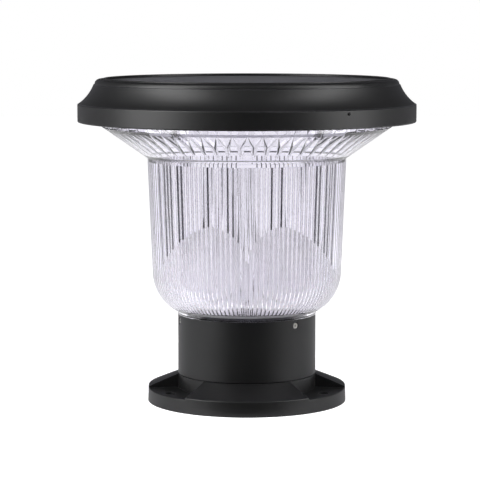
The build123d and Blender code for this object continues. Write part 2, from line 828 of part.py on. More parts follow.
with BuildPart() as panel_glass:
    with BuildSketch(Plane.XY.offset(strip_z)):
        Circle(panel_radius)
    extrude(amount=glass_thickness)
    rim = panel_glass.edges().sort_by(Axis.Z)[-1:]
    chamfer(rim, panel_gap)
    with BuildSketch(Plane.XY.offset(strip_z)):
        Circle(cell_field_radius + strip_gap)
    extrude(amount=strip_pocket, mode=Mode.SUBTRACT)
panel_glass.part.label = "panel_glass"
export_step(panel_glass.part, "parts/panel_glass.step")

# Light engine under the head floor
led_length = 3.5
led_width = 2.8
led_height = 0.8
led_ring_shares = ((24, 0.8), (12, 0.51))

with BuildPart() as led_board:
    with BuildSketch(Plane.XY.offset(head_z)):
        Circle(led_board_radius)
        Circle(led_board_hole, mode=Mode.SUBTRACT)
        with PolarLocations(led_screw_circle, led_screw_count, start_angle=led_screw_bearing):
            Circle(m3_radius + slide_gap, mode=Mode.SUBTRACT)
    extrude(amount=-board_thickness)
led_board.part.label = "led_board"
export_step(led_board.part, "parts/led_board.step")

with BuildPart() as leds:
    with BuildSketch(Plane.XY.offset(head_z - board_thickness)):
        for count, share in led_ring_shares:
            with PolarLocations(led_board_radius * share, count, start_angle=180 / count):
                Rectangle(led_length, led_width)
    extrude(amount=-led_height)
leds.part.label = "leds"
export_step(leds.part, "parts/leds.step")

short_screw = pan_screw(m3_radius, m3_length, m3_head_radius, m3_head_height)
with BuildPart() as led_board_screws:
    with PolarLocations(led_screw_circle, led_screw_count, start_angle=led_screw_bearing):
        with Locations(Location((0, 0, head_z - board_thickness), (180, 0, 0))):
            add(short_screw)
led_board_screws.part.label = "led_board_screws"
export_step(led_board_screws.part, "parts/led_board_screws.step")

grommet_bore = 2.0
grommet_flange_radius = 5.5
grommet_flange = 1.2
with BuildPart() as lead_grommet:
    with BuildSketch(Plane.XZ):
        with BuildLine():
            Polyline(
                (grommet_bore, head_z - grommet_flange),
                (grommet_flange_radius, head_z - grommet_flange),
                (grommet_flange_radius, head_z),
                (grommet_hole_radius - thread_gap, head_z),
                (grommet_hole_radius - thread_gap, head_floor_z),
                (grommet_flange_radius, head_floor_z),
                (grommet_flange_radius, head_floor_z + grommet_flange),
                (grommet_bore, head_floor_z + grommet_flange),
                close=True,
            )
        make_face()
    revolve(axis=Axis.Z)
lead_grommet.part.label = "lead_grommet"
export_step(lead_grommet.part, "parts/lead_grommet.step")

# Cells, their cradle, the tabs that join them and the strap that holds them
with BuildPart() as battery_cradle:
    with BuildSketch(Plane.XY.offset(head_floor_z)):
        with Locations((0, cell_row_y)):
            Rectangle(cradle_length, cradle_width)
    extrude(amount=cradle_height)
    upright = battery_cradle.edges().filter_by(Axis.Z)
    fillet(upright, cradle_wall)
    with BuildSketch(Plane.YZ.offset(-cradle_length / 2 + cradle_wall)):
        with Locations((cell_row_y, cell_z)):
            with GridLocations(cell_pitch, 0, cell_count, 1):
                Circle(cell_radius + cell_gap)
    extrude(amount=cradle_length - 2 * cradle_wall, mode=Mode.SUBTRACT)
    with BuildSketch(Plane.XY.offset(head_floor_z + cradle_boss_height)):
        with Locations((0, cell_row_y)):
            SlotOverall(cradle_length + 2 * cradle_ear, cradle_ear)
            Rectangle(cradle_length, cradle_width, mode=Mode.SUBTRACT)
        with Locations((ear_x, cell_row_y), (-ear_x, cell_row_y)):
            Circle(m3_radius + slide_gap, mode=Mode.SUBTRACT)
    extrude(amount=cradle_ear_thickness)
battery_cradle.part.label = "battery_cradle"
export_step(battery_cradle.part, "parts/battery_cradle.step")

cell_edge_round = 0.6
with BuildPart() as battery_cells:
    with BuildSketch(Plane.YZ.offset(-cell_length / 2)):
        with Locations((cell_row_y, cell_z)):
            with GridLocations(cell_pitch, 0, cell_count, 1):
                Circle(cell_radius)
    extrude(amount=cell_length)
    fillet(battery_cells.edges().filter_by(GeomType.CIRCLE), cell_edge_round)
battery_cells.part.label = "battery_cells"
export_step(battery_cells.part, "parts/battery_cells.step")

with BuildPart() as battery_tabs:
    for side in (-1, 1):
        with BuildSketch(Plane.YZ.offset(side * cell_length / 2)):
            with Locations((cell_row_y, cell_z)):
                Rectangle((cell_count - 1) * cell_pitch + tab_width, tab_width)
        extrude(amount=side * tab_thickness)
battery_tabs.part.label = "battery_tabs"
export_step(battery_tabs.part, "parts/battery_tabs.step")

strap_thickness = 0.8
strap_width = 14.0
with BuildPart() as battery_strap:
    with BuildSketch(Plane.YZ.offset(-strap_width / 2)):
        with Locations((cell_row_y, cell_z)):
            span = (cell_count - 1) * cell_pitch
            reach = cell_radius + seal_gap
            SlotCenterToCenter(span, 2 * (reach + strap_thickness))
            SlotCenterToCenter(span, 2 * reach, mode=Mode.SUBTRACT)
        with Locations((cell_row_y, head_floor_z + cradle_height)):
            Rectangle(
                2 * cradle_width, 2 * cradle_height, align=(Align.CENTER, Align.MAX), mode=Mode.SUBTRACT
            )
    extrude(amount=strap_width)
battery_strap.part.label = "battery_strap"
export_step(battery_strap.part, "parts/battery_strap.step")

with BuildPart() as cradle_screws:
    ear_top = head_floor_z + cradle_boss_height + cradle_ear_thickness
    with Locations((ear_x, cell_row_y, ear_top), (-ear_x, cell_row_y, ear_top)):
        add(short_screw)
cradle_screws.part.label = "cradle_screws"
export_step(cradle_screws.part, "parts/cradle_screws.step")

# Controller board with its parts, plugs and screws
with BuildPart() as controller_board:
    with BuildSketch(Plane.XY.offset(controller_z)):
        with Locations((0, controller_y)):
            RectangleRounded(controller_length, controller_width, controller_inset / 2)
            with GridLocations(standoff_x, standoff_y, 2, 2):
                Circle(m3_radius + slide_gap, mode=Mode.SUBTRACT)
    extrude(amount=board_thickness)
controller_board.part.label = "controller_board"
export_step(controller_board.part, "parts/controller_board.step")

with BuildPart() as board_screws:
    with Locations((0, controller_y, controller_top)):
        with GridLocations(standoff_x, standoff_y, 2, 2):
            add(short_screw)
board_screws.part.label = "board_screws"
export_step(board_screws.part, "parts/board_screws.step")

coil_radius = 4.5
coil_height = 4.5
can_radius = 3.2
can_height = 7.5
chip_length = 6.5
chip_width = 5.0
chip_height = 1.6
coil_share = (-0.28, 0.12)
can_shares = ((-0.05, 0.2), (0.12, 0.2))
chip_shares = ((-0.05, -0.1), (0.12, -0.12), (-0.22, -0.22))

with BuildPart() as board_components:
    with BuildSketch(Plane.XY.offset(controller_top)):
        with Locations((0, controller_y)):
            with Locations((coil_share[0] * controller_length, coil_share[1] * controller_width)):
                RegularPolygon(coil_radius, 8)
    extrude(amount=coil_height)
    with BuildSketch(Plane.XY.offset(controller_top)):
        for across, along in can_shares:
            with Locations((across * controller_length, controller_y + along * controller_width)):
                Circle(can_radius)
    extrude(amount=can_height)
    with BuildSketch(Plane.XY.offset(controller_top)):
        for across, along in chip_shares:
            with Locations((across * controller_length, controller_y + along * controller_width)):
                Rectangle(chip_length, chip_width)
    extrude(amount=chip_height)
board_components.part.label = "board_components"
export_step(board_components.part, "parts/board_components.step")

# Plugs on the board's edges: light, switch, battery and panel
plug_length = 7.0
plug_depth = 6.0
plug_height = 5.0
side_plug_share = (-0.2, 0.15)
front_y = controller_y - controller_width / 2
back_y = controller_y + controller_width / 2
side_x = controller_length / 2
plug_z = controller_top + plug_height / 2
battery_plug_y = controller_y + side_plug_share[0] * controller_width
panel_plug_y = controller_y + side_plug_share[1] * controller_width

with BuildPart() as board_plugs:
    with BuildSketch(Plane.XY.offset(controller_top)):
        with Locations((0, front_y + plug_depth / 2), (0, back_y - plug_depth / 2)):
            Rectangle(plug_length, plug_depth)
        with Locations(
            (side_x - plug_depth / 2, battery_plug_y),
            (plug_depth / 2 - side_x, battery_plug_y),
            (side_x - plug_depth / 2, panel_plug_y),
        ):
            Rectangle(plug_depth, plug_length)
    extrude(amount=plug_height)
board_plugs.part.label = "board_plugs"
export_step(board_plugs.part, "parts/board_plugs.step")

# Push button, its plunger and the switch that it works
button_stem_z = head_z - button_proud
with BuildPart() as mode_button:
    with BuildSketch(Plane.XY.offset(button_stem_z)):
        with Locations((0, button_circle)):
            Circle(button_radius)
    extrude(amount=head_floor_z - button_stem_z)
    fillet(mode_button.edges().sort_by(Axis.Z)[:1], button_round)
    with BuildSketch(Plane.XY.offset(head_floor_z)):
        with Locations((0, button_circle)):
            Circle(button_collar_radius)
    extrude(amount=button_collar)
mode_button.part.label = "mode_button"
export_step(mode_button.part, "parts/mode_button.step")

plunger_engaged = button_travel
with BuildPart() as switch_plunger:
    with BuildSketch(Plane.XY.offset(head_floor_z + button_collar)):
        with Locations((0, button_circle)):
            Circle(plunger_radius)
    extrude(amount=switch_z + plunger_engaged - head_floor_z - button_collar)
switch_plunger.part.label = "switch_plunger"
export_step(switch_plunger.part, "parts/switch_plunger.step")

with BuildPart() as switch_body:
    with BuildSketch(Plane.XY.offset(switch_z)):
        with Locations((0, button_circle)):
            Rectangle(switch_size, switch_size)
            Circle(plunger_radius + slide_gap, mode=Mode.SUBTRACT)
    extrude(amount=plunger_engaged + button_travel + slide_gap)
    with BuildSketch(Plane.XY.offset(switch_z + plunger_engaged + button_travel + slide_gap)):
        with Locations((0, button_circle)):
            Rectangle(switch_size, switch_size)
    extrude(amount=switch_height - plunger_engaged - button_travel - slide_gap)
switch_body.part.label = "switch_body"
export_step(switch_body.part, "parts/switch_body.step")

with BuildPart() as switch_board:
    with BuildSketch(Plane.XY.offset(switch_board_z)):
        with Locations((0, button_circle)):
            Rectangle(switch_board_length, switch_board_width)
            with GridLocations(switch_post_spacing, 0, 2, 1):
                Circle(m25_radius + slide_gap, mode=Mode.SUBTRACT)
    extrude(amount=switch_board_thickness)
switch_board.part.label = "switch_board"
export_step(switch_board.part, "parts/switch_board.step")

with BuildPart() as switch_screws:
    with Locations((0, button_circle, switch_board_top)):
        with GridLocations(switch_post_spacing, 0, 2, 1):
            add(pan_screw(m25_radius, m25_length, m25_head_radius, m25_head_height))
switch_screws.part.label = "switch_screws"
export_step(switch_screws.part, "parts/switch_screws.step")

# Leads held inside the head, two in each pair
lead_radius = 0.7
lead_spacing = 2.0
lead_bend = 1.9
lead_drop = 2.4
lead_clear = 8.0
light_pad_y = -led_board_hole * 1.6
below_board_z = head_z - board_thickness
lead_over_z = switch_board_top + lead_clear / 2
tab_x = cell_length / 2 + tab_thickness
tab_lead_y = cell_row_y + cell_pitch

with BuildPart() as light_leads:
    for x in (-lead_spacing / 2, lead_spacing / 2):
        light_route = [
            (x, front_y, plug_z),
            (x, 0, plug_z),
            (x, 0, below_board_z - lead_drop),
            (x, light_pad_y, below_board_z - lead_drop),
            (x, light_pad_y, below_board_z),
        ]
        add(lead_wire(light_route, lead_bend, lead_radius))
light_leads.part.label = "light_leads"
export_step(light_leads.part, "parts/light_leads.step")

with BuildPart() as switch_leads:
    for x in (-lead_spacing / 2, lead_spacing / 2):
        switch_route = [
            (x, back_y, plug_z),
            (x, back_y + lead_clear, plug_z),
            (x, back_y + lead_clear, lead_over_z),
            (x, button_circle, lead_over_z),
            (x, button_circle, switch_board_top),
        ]
        add(lead_wire(switch_route, lead_bend, lead_radius))
switch_leads.part.label = "switch_leads"
export_step(switch_leads.part, "parts/switch_leads.step")

with BuildPart() as panel_leads:
    for y in (panel_plug_y - lead_spacing / 2, panel_plug_y + lead_spacing / 2):
        panel_route = [
            (side_x, y, plug_z),
            (side_x + lead_clear, y, plug_z),
            (side_x + lead_clear, y, panel_board_z),
        ]
        add(lead_wire(panel_route, lead_bend, lead_radius))
panel_leads.part.label = "panel_leads"
export_step(panel_leads.part, "parts/panel_leads.step")

with BuildPart() as battery_leads:
    for side in (-1, 1):
        battery_route = [
            (side * side_x, battery_plug_y, plug_z),
            (side * (side_x + lead_clear), battery_plug_y, plug_z),
            (side * (side_x + lead_clear), tab_lead_y, plug_z),
            (side * tab_x, tab_lead_y, plug_z),
        ]
        add(lead_wire(battery_route, lead_bend, lead_radius))
battery_leads.part.label = "battery_leads"
export_step(battery_leads.part, "parts/battery_leads.step")
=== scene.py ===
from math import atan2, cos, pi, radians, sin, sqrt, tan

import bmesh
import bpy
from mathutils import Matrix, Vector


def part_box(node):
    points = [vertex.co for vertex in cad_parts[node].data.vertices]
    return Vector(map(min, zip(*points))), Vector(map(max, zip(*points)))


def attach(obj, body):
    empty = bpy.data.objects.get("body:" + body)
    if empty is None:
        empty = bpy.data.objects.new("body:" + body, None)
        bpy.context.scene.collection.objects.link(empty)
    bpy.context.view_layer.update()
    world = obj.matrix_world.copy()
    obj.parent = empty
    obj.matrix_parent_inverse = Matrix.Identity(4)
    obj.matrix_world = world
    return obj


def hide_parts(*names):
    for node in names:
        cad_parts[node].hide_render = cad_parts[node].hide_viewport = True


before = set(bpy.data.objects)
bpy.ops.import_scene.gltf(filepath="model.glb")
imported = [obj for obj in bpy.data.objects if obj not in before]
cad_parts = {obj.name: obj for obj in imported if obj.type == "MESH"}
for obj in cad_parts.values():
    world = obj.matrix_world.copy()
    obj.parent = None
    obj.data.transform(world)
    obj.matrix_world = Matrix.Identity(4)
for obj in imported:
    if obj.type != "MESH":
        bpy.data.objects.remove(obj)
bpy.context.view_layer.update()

# %% [markdown]
# # A solar light for a gate pillar
#
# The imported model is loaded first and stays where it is.
# It already holds the castings, the screws and everything inside the head.
# This script adds a fine mesh for the clear bowl, gives every piece its finish,
# and sets up the table, the lamps and the camera.

mm = 0.001

# %% [markdown]
# ## Colours and nodes
#
# A colour is easiest to compare with a photograph as a hex value, as a paint program shows it.
# Blender's shaders work in linear light, so one function turns the one into the other.
# A second small function adds a shader node with its settings, its values and its links,
# so that each finish below reads like a recipe.

# %% Colour and node helpers
white = (1, 1, 1, 1)
black = (0, 0, 0, 1)


def linear(hex_colour):
    """Linear RGBA of an sRGB hex colour such as #1d1d1f."""
    values = []
    for place in (1, 3, 5):
        share = int(hex_colour[place:place + 2], 16) / 255
        values.append(share / 12.92 if share <= 0.04045 else ((share + 0.055) / 1.055) ** 2.4)
    return (*values, 1.0)


def add_node(tree, kind, settings=None, values=None, links=None):
    """Adds one node. Settings are its options, values fill sockets, links feed sockets."""
    node = tree.nodes.new(kind)
    for name, value in (settings or {}).items():
        setattr(node, name, value)
    for name, value in (values or {}).items():
        node.inputs[name].default_value = value
    for name, output in (links or {}).items():
        tree.links.new(output, node.inputs[name])
    return node


def new_material(name):
    """An empty material with its output node and a Principled shader on it."""
    material = bpy.data.materials.new(name)
    material.use_nodes = True
    tree = material.node_tree
    tree.nodes.clear()
    shader = add_node(tree, "ShaderNodeBsdfPrincipled")
    add_node(tree, "ShaderNodeOutputMaterial", links={"Surface": shader.outputs[0]})
    return material, tree, shader


def dress(material, *names):
    """Puts one material on CAD nodes."""
    for name in names:
        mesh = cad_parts[name].data
        mesh.materials.clear()
        mesh.materials.append(material)
    print(material.name, "on", len(names), "nodes")

# %% [markdown]
# ## Camera
#
# The photograph was taken with a long lens, a little above the middle of the light.
# The rim ellipses give the tilt, and the way they open from top to bottom gives the distance.
# The light stands slightly right of the middle of the picture, so the camera and its aim
# both sit a few millimetres to the left of the axis.

# %% Camera
camera_distance = 1526.6 * mm
camera_tilt = radians(6.43)
camera_aim = Vector((-5.1 * mm, 0, 119.7 * mm))
camera_data = bpy.data.cameras.new("camera")
camera_data.lens = 153.8
camera_data.sensor_width = 36
camera = bpy.data.objects.new("camera", camera_data)
bpy.context.scene.collection.objects.link(camera)
camera_back = Vector((0, -cos(camera_tilt), sin(camera_tilt)))
camera.location = camera_aim + camera_back * camera_distance
camera.rotation_euler = (-camera_back).to_track_quat("-Z", "Y").to_euler()
bpy.context.scene.camera = camera
bpy.context.scene.view_settings.view_transform = "Standard"
print("camera at", [round(x, 3) for x in camera.location])

# %% [markdown]
# ## Table
#
# The light stands on a white table. The table adds some light of its own for the camera,
# so that it reads as white, and still keeps the soft shadow under the flange.
# The world does the same: plain white behind everything, and a softer light on the pieces.

# %% Table
table_size = 8.0
table_glow = 0.72
table_gloss_glow = 0.1
bpy.ops.object.select_all(action="DESELECT")
bpy.ops.mesh.primitive_plane_add(size=table_size)
table = bpy.context.object
table.name = "white_table"
table_paper, tree, shader = new_material("white_table_paper")
shader.inputs["Base Color"].default_value = linear("#e6e6e8")
shader.inputs["Roughness"].default_value = 0.9
shader.inputs["Specular IOR Level"].default_value = 0.1
path = add_node(tree, "ShaderNodeLightPath")
straight = add_node(tree, "ShaderNodeMath", {"operation": "MAXIMUM"},
                    links={0: path.outputs["Is Camera Ray"], 1: path.outputs["Is Transmission Ray"]})
straight_glow = add_node(tree, "ShaderNodeMath", {"operation": "MULTIPLY"}, {1: table_glow},
                         {0: straight.outputs[0]})
gloss_glow = add_node(tree, "ShaderNodeMath", {"operation": "MULTIPLY"}, {1: table_gloss_glow},
                      {0: path.outputs["Is Glossy Ray"]})
glow = add_node(tree, "ShaderNodeMath", {"operation": "MAXIMUM"},
                links={0: straight_glow.outputs[0], 1: gloss_glow.outputs[0]})
shader.inputs["Emission Color"].default_value = white
tree.links.new(glow.outputs[0], shader.inputs["Emission Strength"])
table.data.materials.append(table_paper)
print("table:", table_size, "m square")

# %% World
room_strength = 0.42
backdrop_strength = 1.0
world = bpy.data.worlds.new("studio_world")
bpy.context.scene.world = world
world.use_nodes = True
tree = world.node_tree
tree.nodes.clear()
room_light = add_node(tree, "ShaderNodeBackground", values={"Color": white, "Strength": room_strength})
backdrop = add_node(tree, "ShaderNodeBackground", values={"Color": white, "Strength": backdrop_strength})
path = add_node(tree, "ShaderNodeLightPath")
straight = add_node(tree, "ShaderNodeMath", {"operation": "MAXIMUM"},
                    links={0: path.outputs["Is Camera Ray"], 1: path.outputs["Is Transmission Ray"]})
seen = add_node(tree, "ShaderNodeMath", {"operation": "MAXIMUM"},
                links={0: straight.outputs[0], 1: path.outputs["Is Glossy Ray"]})
both = add_node(tree, "ShaderNodeMixShader",
                links={0: seen.outputs[0], 1: room_light.outputs[0], 2: backdrop.outputs[0]})
add_node(tree, "ShaderNodeOutputWorld", links={"Surface": both.outputs[0]})
print("world nodes:", len(tree.nodes))

# %% [markdown]
# ## Room, cloth and cards
#
# Black products are photographed in a dim room, where only soft boxes and a pale wall behind
# are seen in the paint. A large dome stands round the scene for reflections alone,
# paler at the back, and a black cloth lies on the table in front, also for reflections alone.
# Two black cards stand behind the clear bowl, one at each side, out of the picture.
# The flutes bend light from there to the camera, and that draws the dark upright lines.
# A pale grey wall behind the camera and a paler floor before it
# are what the flutes throw back in the middle of the bowl.

# %% Stage gear helpers
def stage_only(piece, glossy, transmission):
    """Stage gear that only reflections or only light through the bowl can see."""
    piece.visible_camera = False
    piece.visible_diffuse = False
    piece.visible_shadow = False
    piece.visible_glossy = glossy
    piece.visible_transmission = transmission


def plain_glow(name, colour):
    """A matt surface that shines evenly, for stage gear."""
    material, tree, shader = new_material(name)
    shader.inputs["Base Color"].default_value = black
    shader.inputs["Specular IOR Level"].default_value = 0
    shader.inputs["Emission Color"].default_value = colour
    shader.inputs["Emission Strength"].default_value = 1.0
    return material, tree, shader


def stage_card(name, spot, lean, turn, width, height, material, glossy=False):
    """A flat card whose middle is at the spot. Light through the bowl sees it, or else reflections do."""
    bpy.ops.object.select_all(action="DESELECT")
    bpy.ops.mesh.primitive_plane_add(size=1, location=spot, rotation=(lean, 0, turn))
    card = bpy.context.object
    card.name = name
    card.scale = (width, height, 1)
    bpy.ops.object.transform_apply(location=True, rotation=True, scale=True)
    card.data.materials.append(material)
    stage_only(card, glossy=glossy, transmission=not glossy)


upright = pi / 2
lying = 0.0
off_table = 2 * mm

# %% Dim room with a paler back
dome_radius = 2.6
dome_foot_z = 0.02
wall_dark = linear("#262628")
wall_pale = linear("#8c8c92")
pale_from_y = 0.1 * dome_radius
pale_full_y = 0.75 * dome_radius
pale_full_z = 0.2 * dome_radius
pale_up_to_z = 0.75 * dome_radius
right_share = 0.45
bpy.ops.object.select_all(action="DESELECT")
bpy.ops.mesh.primitive_uv_sphere_add(segments=48, ring_count=24, radius=dome_radius)
dome = bpy.context.object
dome.name = "dim_room"
bpy.ops.object.mode_set(mode="EDIT")
bpy.ops.mesh.select_all(action="SELECT")
bpy.ops.mesh.bisect(plane_co=(0, 0, dome_foot_z), plane_no=(0, 0, 1), clear_inner=True)
bpy.ops.object.mode_set(mode="OBJECT")
room_wall, tree, shader = plain_glow("dim_room_wall", wall_dark)
place = add_node(tree, "ShaderNodeTexCoord").outputs["Object"]
axes = add_node(tree, "ShaderNodeSeparateXYZ", links={0: place})
behind = add_node(tree, "ShaderNodeMapRange", {"interpolation_type": "SMOOTHSTEP"},
                  {"From Min": pale_from_y, "From Max": pale_full_y}, {"Value": axes.outputs[1]})
low = add_node(tree, "ShaderNodeMapRange", {"interpolation_type": "SMOOTHSTEP"},
               {"From Min": pale_up_to_z, "From Max": pale_full_z}, {"Value": axes.outputs[2]})
leftness = add_node(tree, "ShaderNodeMapRange", values={
    "From Min": -dome_radius, "From Max": dome_radius, "To Min": 1.0, "To Max": right_share,
}, links={"Value": axes.outputs[0]})
pale = add_node(tree, "ShaderNodeMath", {"operation": "MULTIPLY"},
                links={0: behind.outputs[0], 1: low.outputs[0]})
pale_side = add_node(tree, "ShaderNodeMath", {"operation": "MULTIPLY"},
                     links={0: pale.outputs[0], 1: leftness.outputs[0]})
wall_tone = add_node(tree, "ShaderNodeMix", {"data_type": "RGBA"},
                     {6: wall_dark, 7: wall_pale}, {0: pale_side.outputs[0]})
tree.links.new(wall_tone.outputs[2], shader.inputs["Emission Color"])
dome.data.materials.append(room_wall)
stage_only(dome, glossy=True, transmission=False)
print("dome faces:", len(dome.data.polygons))

# %% Black cloth in front
cloth_size = 3.2
cloth_near_y = -0.08
cloth_z = 1 * mm
bpy.ops.object.select_all(action="DESELECT")
bpy.ops.mesh.primitive_plane_add(size=cloth_size, location=(0, cloth_near_y - cloth_size / 2, cloth_z))
front_cloth = bpy.context.object
front_cloth.name = "front_cloth"
bpy.ops.object.transform_apply(location=True)
front_cloth.data.materials.append(plain_glow("black_cloth", linear("#141416"))[0])
stage_only(front_cloth, glossy=True, transmission=False)
print("cloth from y =", cloth_near_y)

# %% Cards and the wall behind the camera
card_distance = 0.8
card_bearing = radians(36)
card_width = 0.42
card_height = 0.15
front_wall_y = -1.25
front_wall_width = 2.6
front_wall_height = 1.2
card_black = plain_glow("black_card", linear("#1c1c20"))[0]
front_grey = plain_glow("front_wall_grey", linear("#dddbe5"))[0]
floor_grey = plain_glow("front_floor_grey", linear("#f4f3fa"))[0]
for side, word in ((-1, "left"), (1, "right")):
    away = Vector((side * sin(card_bearing), cos(card_bearing), 0))
    spot = away * card_distance + Vector((0, 0, card_height / 2))
    stage_card("black_card_" + word, spot, upright, -side * card_bearing,
               card_width, card_height, card_black)
stage_card("front_wall", (0, front_wall_y, front_wall_height / 2), upright, 0,
           front_wall_width, front_wall_height, front_grey)
stage_card("front_floor", (0, (front_wall_y + cloth_near_y) / 2, off_table), lying, 0,
           front_wall_width, cloth_near_y - front_wall_y, floor_grey)
print("cards at", card_distance, "m")

# %% [markdown]
# ## Soft boxes
#
# Three large soft boxes light the matt surfaces from the left, the right and the front.
# What the black paint mirrors is set apart from them: two tall glowing screens hang just above
# the table at the left and at the right, and only reflections see them. They make the two broad
# upright highlights on the cap, the band and the column, and the middle stays dark.
# The bowl bends light from everywhere, so neither lamps nor screens are seen through it,
# or they would show as hard white spots.

# %% Lamps
lamp_aim = Vector((0, 0, 0.15))


def soft_box(name, bearing, elevation, distance, size, power):
    """A soft box aimed at the light. Bearing 0 is behind the camera, plus is right."""
    lamp_data = bpy.data.lights.new(name, "AREA")
    lamp_data.shape = "RECTANGLE"
    lamp_data.size, lamp_data.size_y = size
    lamp_data.energy = power
    lamp = bpy.data.objects.new(name, lamp_data)
    bpy.context.scene.collection.objects.link(lamp)
    away = Vector((
        sin(radians(bearing)) * cos(radians(elevation)),
        -cos(radians(bearing)) * cos(radians(elevation)),
        sin(radians(elevation)),
    ))
    lamp.location = lamp_aim + away * distance
    lamp.rotation_euler = (-away).to_track_quat("-Z", "Y").to_euler()
    lamp.visible_transmission = False
    lamp.visible_glossy = False
    print(name, power, "W")


soft_box("left_box", bearing=-64, elevation=35, distance=1.5, size=(0.9, 1.2), power=16)
soft_box("right_box", bearing=66, elevation=35, distance=1.5, size=(0.9, 1.2), power=12)
soft_box("front_box", bearing=-10, elevation=50, distance=1.9, size=(1.2, 1.2), power=7)

# %% Glowing screens
screen_distance = 1.0
screen_foot_z = 0.12
screen_height = 1.78
screen_middle_z = screen_foot_z + screen_height / 2
screens = (("left_screen", radians(-63), 0.7, 6.2), ("right_screen", radians(66), 0.62, 4.8))
for name, bearing, width, glow in screens:
    spot = (screen_distance * sin(bearing), -screen_distance * cos(bearing), screen_middle_z)
    screen_light, tree, shader = plain_glow(name + "_cloth", white)
    shader.inputs["Emission Strength"].default_value = glow
    stage_card(name, spot, upright, bearing, width, screen_height, screen_light, glossy=True)
    print(name, width, "m wide")

# %% [markdown]
# ## The clear bowl
#
# On the real light the bowl is one moulding of clear polycarbonate.
# It is smooth outside, and inside it has 120 upright flutes with flanks at 45 degrees,
# 60 larger darts in the flare, and six screw bosses under the rim.
# The flutes are what the eye sees: each flank bends or throws back the light.
# A turned shape could be spun from a profile, but a star-shaped section can't.
# So one ring of 960 points is extruded from level to level, along the whole section,
# and at each level its points are scaled to their radius and turned to their place:
# eight points make one flute with its rounded tips, and sixteen make one dart of the flare.

# %% Sizes of the bowl
collar_z = 65.4
bowl_z = 68.6
outer_bend_steps = 20
inner_bend_steps = 12
floor_top_z = 72.4
floor_under_z = 69.2
corner_z = 181.2
flare_z = 204.4
rim_z = 208.8
neck_foot_z = 51.4
neck_outer = 48.1
neck_inner = 45.1
collar_radius = 51.7
bowl_radius = 73.7
flare_radius = 107.0
rim_inner = 101.0
wall = 2.8
draft = radians(2.29)
bend_radius = 33.0
bend_centre_r = 37.341
bend_centre_z = 96.816
flute_count = 120
dart_count = 60
flute_points = 8
dart_points = 16
flute_top_z = 179.0
dart_low_z = 190.1
dart_tip_z = 196.7
dart_low_depth = 0.35
dart_tip_depth = 2.1
dart_low_turn = 0.7
dart_top_turn = 2.7
groove_z = 185.6
groove_half = 0.25
groove_depth = 0.3
inner_corner_z = 182.69
merge_reach = 0.002
smooth_angle = radians(28)
screw_hole_radius = 1.8
flare_slope = (flare_z - corner_z) / (flare_radius - bowl_radius)
flare_skin = wall * sqrt(1 + flare_slope ** 2) / flare_slope
dart_top_z = corner_z + (rim_inner + flare_skin - bowl_radius) * flare_slope
points_round = dart_points * dart_count
point_turn = 360 / points_round
flute_turn = 360 / flute_count
# The eight points of a flute: where they stand and how high, both as shares of its pitch
flute_places = (-0.05, 0.05, 0.12, 0.38, 0.45, 0.55, 0.62, 0.88)
flute_heights = (0.0, 0.0, 0.033, 0.293, 0.325, 0.325, 0.293, 0.033)


def wall_radius(z, skin):
    """Radius of the bowl at a level, one skin inside its outer surface."""
    if z >= bend_centre_z - (bend_radius - skin) * sin(draft):
        return bowl_radius - (corner_z - z) * tan(draft) - skin / cos(draft)
    return bend_centre_r + sqrt((bend_radius - skin) ** 2 - (bend_centre_z - z) ** 2)


def flare_inner(z):
    """Inside radius of the flare at a level."""
    return bowl_radius + (z - corner_z) / flare_slope - flare_skin


def plain_ring(z, radius):
    """A level where the section is round."""
    return z, [radius] * dart_points, [0.0] * dart_points


def flute_ring(z, radius):
    """A level through the flutes, whose valleys lie at the radius."""
    pitch = radians(flute_turn) * radius
    radii = [radius - pitch * share for share in flute_heights]
    turns = [(place - n / flute_points) * flute_turn for n, place in enumerate(flute_places)]
    return z, radii * 2, turns * 2


def dart_ring(z, radius, depth, half_turn):
    """A level through the darts. Their ridge is one point, and their feet lie half a turn away."""
    half = dart_points // 2
    radii = [radius] * dart_points
    radii[half] = radius - depth
    places = [0.0]
    for step in range(half):
        places.append(half_turn + (half * point_turn - half_turn) * step / (half - 1))
    shifts = [places[n] - n * point_turn for n in range(half + 1)]
    turns = [-shifts[half - c] if c < half else shifts[c - half] for c in range(dart_points)]
    return z, radii, turns


def bend_levels(skin, low_z, count):
    """Heights up the lower bend, at even turns."""
    reach = (bend_centre_z - low_z) / (bend_radius - skin)
    low_turn = atan2(reach, sqrt(1 - reach ** 2))
    turns = [low_turn + (draft - low_turn) * n / count for n in range(count + 1)]
    return [bend_centre_z - (bend_radius - skin) * sin(turn) for turn in turns]


print("flare slope:", round(flare_slope, 3), "darts up to", round(dart_top_z, 1), "mm")

# %% Section of the bowl, from the screw hole outside up to the rim and down inside
outside = [
    plain_ring(floor_top_z, screw_hole_radius),
    plain_ring(floor_under_z, screw_hole_radius),
    plain_ring(floor_under_z, neck_inner),
    plain_ring(neck_foot_z, neck_inner),
    plain_ring(neck_foot_z, neck_outer),
    plain_ring(collar_z, neck_outer),
    plain_ring(collar_z, collar_radius),
    plain_ring(bowl_z, collar_radius),
]
for z in bend_levels(0, bowl_z, outer_bend_steps):
    outside.append(plain_ring(z, wall_radius(z, 0)))
outside += [
    plain_ring(corner_z, bowl_radius),
    plain_ring(flare_z, flare_radius),
    plain_ring(rim_z, flare_radius),
    plain_ring(rim_z, rim_inner),
    dart_ring(dart_top_z, rim_inner, 0.0, dart_top_turn),
]
tip_share = (dart_tip_z - dart_low_z) / (dart_top_z - dart_low_z)
dart_tip_turn = dart_low_turn + (dart_top_turn - dart_low_turn) * tip_share
inside = [
    dart_ring(dart_tip_z, flare_inner(dart_tip_z), dart_tip_depth, dart_tip_turn),
    dart_ring(dart_low_z, flare_inner(dart_low_z), dart_low_depth, dart_low_turn),
    dart_ring(dart_low_z, flare_inner(dart_low_z), 0.0, dart_low_turn),
]
